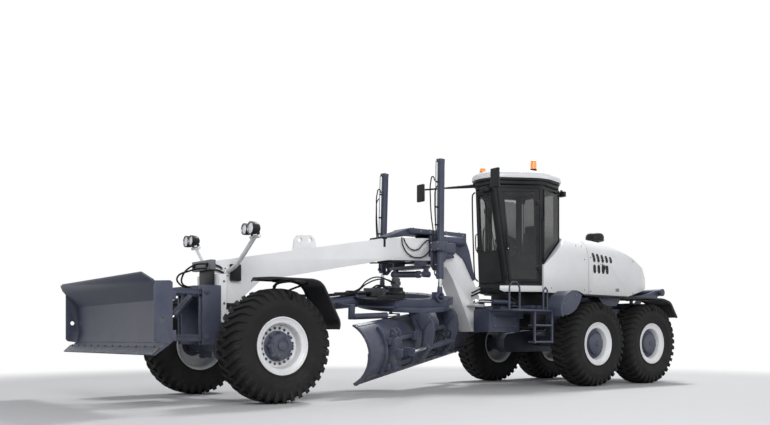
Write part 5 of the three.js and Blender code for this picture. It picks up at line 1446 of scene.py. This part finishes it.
def makeBeacons():
    black, amber, lens = [], [], []
    for x, y, low, tall, head in ((-0.18, 1.41, 3.74, 3.915, 0.07), (0.38, 2.14, 3.80, 4.068, 0.165)):
        neck = tall - head - low
        black.append(turned([(0.0, 0.0), (0.034, 0.0), (0.034, neck - 0.06), (0.058, neck - 0.045),
                (0.060, neck - 0.040), (0.060, neck - 0.006), (0.054, neck), (0.0, neck)], (x, y, low), (0, 0, 1),
                32))
        amber.append(turned([(0.0, 0.0), (0.053, 0.0), (0.056, 0.004), (0.054, head * 0.72), (0.047, head * 0.90),
                (0.030, head * 0.98), (0.0, head)], (x, y, tall - head), (0, 0, 1), 32))
    for side in (1, -1):
        at = Vector((side * 0.50, 2.79, 3.50))
        black.append(around(at, (0.065, 0.035, 0.048), (0.065, 0.035, 0.048), 0.010))
        black.append(around(at, (0.012, 0.045, 0), (0.012, 0, 0.075), 0.003))
        lens.append(around(at + Vector((0, 0.036, 0)), (0.054, 0.003, 0.038), (0.054, 0.003, 0.038), 0.002))
    shown(together(*black), "beacon_bases", "chassis", blackPaint)
    shown(together(*amber), "beacon_domes", "chassis", amberLens)
    shown(together(*lens), "work_lights", "chassis", clearLens)
    brim = plate([(0.265, 1.172), (0.764, 2.03), (0.565, 2.758), (-0.565, 2.758), (-0.764, 2.03), (-0.265, 1.172)],
            2, 3.630, 3.676, 0.006, 2, roof["corner"])
    under = plate([(0.245, 1.215), (0.730, 2.03), (0.54, 2.72), (-0.54, 2.72), (-0.730, 2.03), (-0.245, 1.215)], 2,
            3.562, 3.632, 0.006, 2, 0.16)
    shown(together(brim, under), "roof_brim", "chassis", blackPaint)


mirror = {"tip": (0.94, 0.60, 3.545), "high": 0.10, "low": 0.22, "half": 0.095}


def makeMirrors():
    for side, hand in ((1, "left"), (-1, "right")):
        tip, half = Vector(mirror["tip"]), mirror["half"]
        foot = Vector((0.22, 1.34, 3.60))
        arm = together(tube([foot, foot.lerp(tip, 0.1) + Vector((0, -0.03, 0)), tip + Vector((-0.10, 0.06, 0.0)),
                tip, tip + Vector((0.01, -0.01, -0.10))], 0.016, 16),
                bar(foot, foot.lerp(tip, 0.55) + Vector((0, -0.01, 0)), 0.036, 24, 0.004, tip=0.018))
        shell = slab(tip - Vector((half, 0.040, mirror["low"])), tip + Vector((half, 0.012, mirror["high"])), 0.022,
                4)
        glass = slab(tip + Vector((-half + 0.014, 0.0105, 0.014 - mirror["low"])),
                tip + Vector((half - 0.014, 0.0145, mirror["high"] - 0.014)), 0.0015)
        black = together(arm, shell)
        if side < 0:
            for piece in (black, glass):
                mirroredAbout(piece, 0)
        shown(black, f"mirror_{hand}", "chassis", blackPaint)
        shown(glass, f"mirror_glass_{hand}", "chassis", mirrorGlass)


seat = {"voxel": 0.007}


def swollen(piece, cap):
    # foam under cloth: swelled by pressure, with every point kept within the cap of where it began
    modify(piece, "REMESH", mode="VOXEL", voxel_size=seat["voxel"])
    smooth(piece, 60)
    before = [corner.co.copy() for corner in piece.data.vertices]
    cloth = piece.modifiers.new("swell", "CLOTH")
    cloth.settings.use_pressure = True
    cloth.settings.uniform_pressure_force = 4
    cloth.settings.effector_weights.gravity = 0
    for moment in range(1, 21):
        scene.frame_set(moment)
    pick(piece)
    bpy.ops.object.modifier_apply(modifier="swell")
    scene.frame_set(1)
    for corner, place in zip(piece.data.vertices, before):
        move = corner.co - place
        if move.length > cap:
            corner.co = place + move * (cap / move.length)
    return piece


def makeSeat():
    # cushion and back as their own padded pieces; the base and the arm rests stay moulded
    base = together(slab((-0.17, 2.22, 1.80), (0.17, 2.56, 1.86), 0.012, 3),
            slab((-0.13, 2.26, 1.86), (0.13, 2.52, 2.10), 0.03, 3), slab((-0.20, 2.19, 2.10), (0.20, 2.60, 2.240),
            0.02, 3), slab((-0.18, 2.60, 2.12), (0.18, 2.632, 2.94), 0.014, 3))
    shown(base, "seat_base", "chassis", cabPlastic, "operator_seat")
    for name, low, high, wings in (("seat_cushion_pad", (-0.236, 2.172, 2.248), (0.236, 2.535, 2.352),
            ((0.15, 2.18, 2.30), (0.236, 2.53, 2.372))), ("seat_back_pad", (-0.226, 2.548, 2.375),
            (0.226, 2.618, 2.97), ((0.145, 2.520, 2.41), (0.226, 2.59, 2.84)))):
        pad = slab(low, high, 0.032, 4)
        for side in (1, -1):
            a, b = wings
            wing = slab((side * a[0], a[1], a[2]), (side * b[0], b[1], b[2]), 0.026, 4)
            cut(pad, wing, "UNION")
        shown(swollen(pad, 0.009), name, "chassis", seatCloth)
    rests = []
    for side in (1, -1):
        rests.append(slab((side * 0.27, 2.20, 2.52), (side * 0.33, 2.52, 2.565), 0.016, 4))
        rests.append(slab((side * 0.285, 2.46, 2.30), (side * 0.315, 2.50, 2.53), 0.008, 2))
        rests.append(slab((side * 0.262, 2.18, 2.12), (side * 0.36, 2.56, 2.30), 0.02, 3))
    shown(together(*rests), "seat_arm_rests", "chassis", cabPlastic)


def makeConsole():
    shown(refined("control_console", bevel=0.008, segments=3), "console_body", "chassis", cabPlastic,
            "control_console")
    levers = []
    for side in (1, -1):
        for i in range(4):
            foot = Vector((side * (0.13 + 0.028 * i), 1.74, 2.46))
            levers.append(bar(foot, foot + Vector((0, 0.03, 0.16)), 0.005, 12, 0))
            levers.append(bar(foot + Vector((0, 0.028, 0.15)), foot + Vector((0, 0.037, 0.20)), 0.011, 16, 0.004,
                    tip=0.013))
    shown(together(*levers), "console_levers", "chassis", blackPaint)


makeDoors()
makeQuarterGlass()
makeWindshield()
makeFrame()
makeRoof()
makeBeacons()
makeMirrors()
makeSeat()
makeConsole()
print("cab made")


# rear frame, engine and hood

hood = {"half": 0.75, "slotWidth": 0.084, "slotStep": 0.125, "upper": (3.380, 2.270, 2.440),
        "lower": (3.395, 2.060, 2.220)}


def makeChassis():
    shown(refined("rear_frame", bevel=0.006, segments=2), "rear_frame_rails", "chassis", navyPaint, "rear_frame")
    casing = refined("rear_axle", bevel=0.008, segments=3)
    centre = Vector((0, 3.445, 0.825))
    bowl = turned([(0.0, -0.26), (0.09, -0.25), (0.16, -0.235), (0.225, -0.215), (0.250, -0.20), (0.250, 0.16),
            (0.225, 0.18), (0.19, 0.205), (0.12, 0.245), (0.0, 0.262)], centre, (0, 1, 0), 56)
    shown(together(casing, bowl), "rear_axle_casing", "chassis", navyPaint, "rear_axle")
    shown(boltHeads(ringPlaces(centre + Vector((0, -0.203, 0)), (0, 1, 0), 0.235, 18), (0, -1, 0), 0.011),
            "rear_axle_bolts", "chassis", zincSteel)
    case = refined("tandem_case_left", bevel=0.012, segments=3)
    covers = []
    for y in (2.65, 3.445, 4.24):
        covers.append(turned([(0.0, 0.012), (0.105, 0.012), (0.118, 0.006), (0.120, -0.02), (0.0, -0.02)],
                (0.880, y, 0.78), (1, 0, 0), 40) if y == 3.445
                else turned([(0.125, 0.010), (0.150, 0.010), (0.156, 0.004), (0.156, -0.02), (0.125, -0.02)],
                (0.880, y, 0.745), (1, 0, 0), 40))
    bothSides("tandem_casing", together(case, *covers), "chassis", navyPaint, "tandem_case_{}")
    bothSides("tandem_bolts", boltHeads(ringPlaces((0.892, 3.445, 0.78), (1, 0, 0), 0.09, 8), (1, 0, 0), 0.009),
            "chassis", zincSteel)
    block = [refined("engine_block", bevel=0.012, segments=2)]
    for side in (1, -1):
        block += [slab((side * 0.355, y, 1.90), (side * 0.40, y + 0.14, 2.08), 0.012)
                for y in (3.46, 3.66, 3.86, 4.06, 4.26)]
    block += [slab((-0.30, 3.44, 2.14), (0.30, 4.50, 2.20), 0.014, 3)]
    shown(together(*block), "engine_casing", "chassis", ironPaint, "engine_block")
    shown(slab((-0.73, 1.70, 1.10), (-0.27, 2.42, 1.40), 0.016, 3), "hydraulic_tank", "chassis", navyPaint)
    for hand in ("left", "right"):
        for part, material in (("barrel", navyPaint), ("rod", chromeRod)):
            shown(refined(f"articulation_{part}_{hand}", bevel=0.003, segments=2),
                    f"articulation_{part}_{hand}_piece", f"articulation_{part}_{hand}", material,
                    f"articulation_{part}_{hand}")


def hoodFace(z):
    # how far out the hood's side lies at a height: upright, then leaning in at the shoulder
    return hood["half"] - max(0, z - 2.32) / 0.21 * 0.06


def ventInsert(side, y, low, high):
    # a louvred insert that lines one slot, with a thin rim on the hood's skin
    half, parts = hood["slotWidth"] / 2, []
    steps = max(4, round((high - low) / 0.028))
    for i in range(steps):
        z = low + (high - low) * i / steps
        rise = (high - low) / steps
        face = hoodFace(z + rise / 2)
        shift = -0.012 * i / steps
        trim = 0.012 if i in (0, steps - 1) else 0.0
        parts.append(slab((side * (face - 0.03), y - half + shift + trim, z),
                (side * (face + 0.0018), y + half + shift - trim, z + rise - 0.004), 0.0015, 1))
        parts.append(slab((side * (face - 0.03), y - half + shift + trim, z + rise - 0.004),
                (side * (face + 0.0006), y + half + shift - trim, z + rise), 0))
    return together(*parts)


def makeHood():
    y, low, high = hood["upper"]
    places = [(y + hood["slotStep"] * i + 0.025, low, high - 0.012 * i) for i in range(5)]
    y, low, high = hood["lower"]
    places += [(y + hood["slotStep"] * i + 0.025, low, high) for i in range(4)]
    cover = refined("engine_hood", bevel=0.014, segments=3)
    pick(cover)
    edit()
    choose(lambda v: v.co.z > 2.742 and math.hypot(v.co.x, v.co.y - 4.38) < 0.2, "VERT")
    bpy.ops.mesh.delete(type="VERT")
    done()
    smooth(cover, 40)
    shown(cover, "hood_shell", "hood", whitePaint, "engine_hood")
    shown(together(*[ventInsert(side, *place) for side in (1, -1) for place in places]), "hood_vent_inserts",
            "hood", blackPaint)
    centre = (0, 4.38, 0)
    cap = turned([(0.0, 2.745), (0.072, 2.745), (0.082, 2.752), (0.082, 2.776), (0.135, 2.782), (0.176, 2.792),
            (0.181, 2.806), (0.179, 2.875), (0.168, 2.918), (0.140, 2.943), (0.080, 2.952), (0.0, 2.953)], centre,
            (0, 0, 1), 56)
    fins = [bar((0.172 * math.cos(a), 4.38 + 0.172 * math.sin(a), 2.80),
            (0.172 * math.cos(a), 4.38 + 0.172 * math.sin(a), 2.885), 0.009, 8, 0)
            for a in [math.tau * i / 28 for i in range(28)]]
    shown(together(cap, *fins), "air_precleaner", "hood", blackPaint)
    riser = turned([(0.0, 2.60), (0.125, 2.60), (0.110, 2.68), (0.094, 2.735), (0.088, 2.748), (0.0, 2.750)],
            centre, (0, 0, 1), 40)
    shown(riser, "precleaner_riser", "hood", whitePaint)
    small = [boltHeads([(side * 0.7512, y, z) for y in (3.30, 4.60) for z in (1.72, 2.35)], (side, 0, 0), 0.008)
            for side in (1, -1)]
    small += [slab((side * 0.750, 4.05, 1.74), (side * 0.757, 4.15, 1.80), 0.004) for side in (1, -1)]
    shown(together(*small), "hood_catches", "hood", zincSteel)
    bars = [slab((-0.30, 5.4075, z), (0.30, 5.416, z + 0.012), 0.002) for z in [1.865 + 0.026 * i for i in range(7)]]
    bars.append(slab((-0.315, 5.402, 1.853), (0.315, 5.410, 2.045), 0.003))
    shown(together(*bars), "hood_rear_grille", "hood", blackPaint)


def makeCowl():
    shown(smoothed(refined("rear_cowl", bevel=0.014, segments=3), 40), "cowl_shell", "chassis", whitePaint,
            "rear_cowl")
    heads = [boltHeads([(side * 0.7512, y, z) for y, z in ((2.20, 1.74), (3.12, 1.74), (3.12, 2.30))], (side, 0, 0),
            0.008) for side in (1, -1)]
    vents = [slab((side * 0.7495, y, 2.52), (side * 0.754, y + 0.012, 2.56), 0.002) for side in (1, -1)
            for y in (2.86, 3.02)]
    shown(together(*heads, *vents), "cowl_bolts", "chassis", zincSteel)


def smoothed(piece, angle):
    smooth(piece, angle)
    return piece


rearFender = {"x0": 0.936, "x1": 1.456, "wall": 0.012, "centre": (1.2, 3.445, 0.90)}


def makeRearFenders():
    front = sheetFender([(1.640, 1.215), (1.606, 1.38), (1.70, 1.545), (1.875, 1.652), (2.05, 1.655),
            (2.21, 1.597)], 1.16, rearFender["x1"], rearFender["wall"], 0.05, rearFender["centre"], 0.975)
    cheek = plate([(1.655, 1.235), (1.612, 1.40), (1.705, 1.545), (1.875, 1.645), (2.04, 1.648), (2.17, 1.585),
            (2.11, 1.45), (2.01, 1.33), (1.90, 1.27), (1.78, 1.235)], 0, 1.440, 1.456, 0.004, 2, 0.02)
    fold = plate([(1.70, 1.27), (1.685, 1.39), (1.76, 1.49), (1.93, 1.54), (2.06, 1.51), (1.99, 1.38),
            (1.88, 1.30)], 0, 1.452, 1.461, 0.003, 2, 0.02)
    gusset = plate([(2.80, 1.575), (3.46, 1.575), (3.32, 1.425), (2.96, 1.425)], 0, 1.285, 1.310, 0.005, 2, 0.02)
    brace = slab((0.66, 3.03, 1.42), (1.30, 3.25, 1.575), 0.010)
    rear = sheetFender([(2.20, 1.597), (4.56, 1.592), (4.80, 1.535), (5.025, 1.24)], rearFender["x0"],
            rearFender["x1"], rearFender["wall"], 0.07, rearFender["centre"], 0.965)
    stays = [slab((0.72, y, 1.565), (1.40, y + 0.06, 1.588), 0.003) for y in (2.60, 3.42, 4.40)]
    bothSides("rear_fender_front", together(front, cheek, fold, gusset, brace), "chassis", navyPaint)
    bothSides("rear_fender_sheet", together(rear, *stays), "chassis", blackPaint, "rear_fender_{}")
    bothSides("rear_fender_bolts",
            together(boltHeads([(x, y, 1.6055) for y in (2.63, 3.45, 4.43) for x in (0.86, 1.05, 1.30)], (0, 0, 1),
            0.009), boltHeads([(1.4565, y, z) for y, z in ((1.70, 1.43), (2.02, 1.58), (1.80, 1.26))], (1, 0, 0),
            0.008)), "chassis", zincSteel)


def makeTail():
    shape = [refined("rear_bumper", bevel=0.008, segments=3)]
    for side in (1, -1):
        shape.append(plate([(4.30, 1.57), (5.30, 1.60), (5.55, 1.70), (5.57, 1.79), (5.42, 1.80), (5.10, 1.72),
                (4.30, 1.60)], 0, side * 0.66, side * 0.70, 0.006))
        shape.append(turned([(0.0, 0.0), (0.066, 0.0), (0.074, 0.008), (0.074, 0.045), (0.066, 0.05), (0.0, 0.05)],
                (side * 0.722, 5.57, 1.77), (side, 0, 0), 40))
    shown(together(*shape), "bumper_tube", "chassis", navyPaint, "rear_bumper")
    box, glass, amber = [], [], []
    for side in (1, -1):
        x = side * 0.52
        box.append(slab((x - 0.11, 5.545, 1.60), (x + 0.11, 5.60, 1.69), 0.010))
        box.append(slab((x - 0.02, 5.53, 1.68), (x + 0.02, 5.57, 1.72), 0.003))
        glass.append(slab((x - side * 0.10, 5.598, 1.61), (x + side * 0.02, 5.607, 1.68), 0.004))
        amber.append(slab((x + side * 0.03, 5.598, 1.61), (x + side * 0.10, 5.607, 1.68), 0.004))
    shown(together(*box), "tail_lamp_bodies", "chassis", blackPaint)
    shown(together(*glass), "tail_lamp_red", "chassis", redLens)
    shown(together(*amber), "tail_lamp_amber", "chassis", amberLens)
    hook = turned([(0.030, 0.0), (0.048, 0.0), (0.048, 0.03), (0.030, 0.03)], (0, 5.36, 1.32), (1, 0, 0), 32)
    shown(together(hook, slab((-0.02, 5.28, 1.28), (0.05, 5.33, 1.36), 0.004)), "tow_eye", "chassis", navyPaint)


def makeSteps():
    shape = [refined("side_steps_left", bevel=0.006, segments=2)]
    for i in range(12):
        shape.append(slab((0.45 + 0.072 * i, 0.66, 1.3195), (0.462 + 0.072 * i, 1.50, 1.3245), 0.001))
    shape.append(slab((0.796, 0.68, 1.02), (0.812, 1.24, 1.22), 0.008, 3))
    shape.append(turned([(0.0, 0.0), (0.055, 0.0), (0.060, 0.006), (0.060, 0.03), (0.050, 0.04), (0.0, 0.04)],
            (0.62, 0.78, 1.320), (0, 0, 1), 32))
    shown(together(*shape), "left_tank_and_steps", "chassis", navyPaint, "side_steps_left")
    treads = [slab((1.288, 1.10, z + 0.012), (1.328, 1.575, z + 0.018), 0.002) for z in (0.78, 1.055)]
    box = [slab((0.50, 1.60, 1.02), (0.80, 2.00, 1.27), 0.014, 3),
            slab((0.797, 1.66, 1.07), (0.806, 1.94, 1.22), 0.004),
            slab((0.70, 0.70, 0.952), (0.76, 1.30, 0.962), 0.002)]
    shown(together(*treads, *box), "step_treads_and_battery_box", "chassis", blackPaint)
    heads = boltHeads([(0.8125, y, z) for y in (0.72, 1.20) for z in (1.05, 1.19)], (1, 0, 0), 0.009)
    shown(heads, "tank_bolts", "chassis", zincSteel)
    lines = [hose([(0.25, 0.72, 1.62), (0.34, 0.92, 1.71), (0.42, 1.20, 1.68), (0.46, 1.50, 1.54),
            (0.42, 1.80, 1.38)], 0.016), hose([(0.22, 0.74, 1.57), (0.30, 0.98, 1.66), (0.38, 1.26, 1.63),
            (0.42, 1.52, 1.50), (0.38, 1.80, 1.38)], 0.016),
            hose([(-0.25, 0.72, 1.62), (-0.34, 0.92, 1.71), (-0.42, 1.20, 1.68), (-0.46, 1.50, 1.54),
            (-0.42, 1.80, 1.38)], 0.016)]
    # these hoses cross the articulation; they ride on no body and stay where they are drawn
    lines = together(*lines)
    lines.name = lines.data.name = "frame_hoses"
    lines.data.materials.clear()
    lines.data.materials.append(hoseRubber)
    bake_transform(lines)


makeChassis()
makeHood()
makeCowl()
makeRearFenders()
makeTail()
makeSteps()
print("rear half made")


# floor, backdrop and light

studio = {"floor": 160, "worldLevel": 0.38, "whiteFrom": 7.5, "whiteTo": 12.5}


def added(tree, kind, *sources, **settings):
    # a node with its settings made and its first inputs linked to the sources
    made = tree.nodes.new(kind)
    for key, value in settings.items():
        setattr(made, key, value)
    for i, source in enumerate(sources):
        tree.links.new(source, made.inputs[i])
    return made


def backdropRays(tree):
    # one where a ray comes from the camera, a mirror or a pane, nought where it lights the machine
    rays = added(tree, "ShaderNodeLightPath").outputs
    first = added(tree, "ShaderNodeMath", rays["Is Camera Ray"], rays["Is Transmission Ray"], operation="MAXIMUM")
    return added(tree, "ShaderNodeMath", first.outputs[0], rays["Is Glossy Ray"], operation="MAXIMUM").outputs[0]


def makeFloor():
    bpy.ops.mesh.primitive_plane_add(size=studio["floor"])
    floor = bpy.context.object
    floor.name = "floor"
    paint = Paint("floorCoat")
    speck = paint.noise(3, 4)
    paint.set(Base_Color=paint.mix(speck, (0.49, 0.49, 0.50, 1), (0.52, 0.52, 0.53, 1)), Roughness=0.7,
            Specular_IOR_Level=0.2)
    # far from the machine the floor runs into the white backdrop
    tree = paint.tree
    away = added(tree, "ShaderNodeVectorMath", paint.place.socket, operation="LENGTH")
    fade = added(tree, "ShaderNodeMapRange", away.outputs["Value"], interpolation_type="SMOOTHSTEP")
    fade.inputs["From Min"].default_value = studio["whiteFrom"]
    fade.inputs["From Max"].default_value = studio["whiteTo"]
    share = added(tree, "ShaderNodeMath", fade.outputs[0], backdropRays(tree), operation="MULTIPLY")
    white = added(tree, "ShaderNodeEmission")
    join = added(tree, "ShaderNodeMixShader", share.outputs[0], paint.shader.outputs[0], white.outputs[0])
    tree.links.new(join.outputs[0], tree.nodes["Material Output"].inputs["Surface"])
    floor.data.materials.append(paint.material)


def makeWorld():
    world = bpy.data.worlds.new("studio")
    world.use_nodes = True
    scene.world = world
    tree = world.node_tree
    light = tree.nodes["Background"]
    light.inputs["Color"].default_value = (0.93, 0.95, 1, 1)
    light.inputs["Strength"].default_value = studio["worldLevel"]
    white = added(tree, "ShaderNodeBackground")
    white.inputs["Color"].default_value = (1, 1, 1, 1)
    choice = added(tree, "ShaderNodeMixShader", backdropRays(tree), light.outputs[0], white.outputs[0])
    tree.links.new(choice.outputs[0], tree.nodes["World Output"].inputs["Surface"])
    scene.view_settings.view_transform = "Standard"


def makeLamps():
    for name, place, energy, size in (("key", (-4, 8, 15), 2450, 3), ("camera side", (14, -9, 9), 1720, 8),
            ("rear side", (13, 9, 7), 350, 8), ("nose", (-7, -14, 6), 260, 6)):
        bpy.ops.object.light_add(type="AREA", location=place)
        light = bpy.context.object
        light.name = name
        light.data.energy = energy
        light.data.size = size
        light.rotation_euler = (Vector((0, 0, 1.4)) - Vector(place)).to_track_quat("-Z", "Y").to_euler()


makeFloor()
makeWorld()
makeLamps()
print("floor, backdrop and light made")
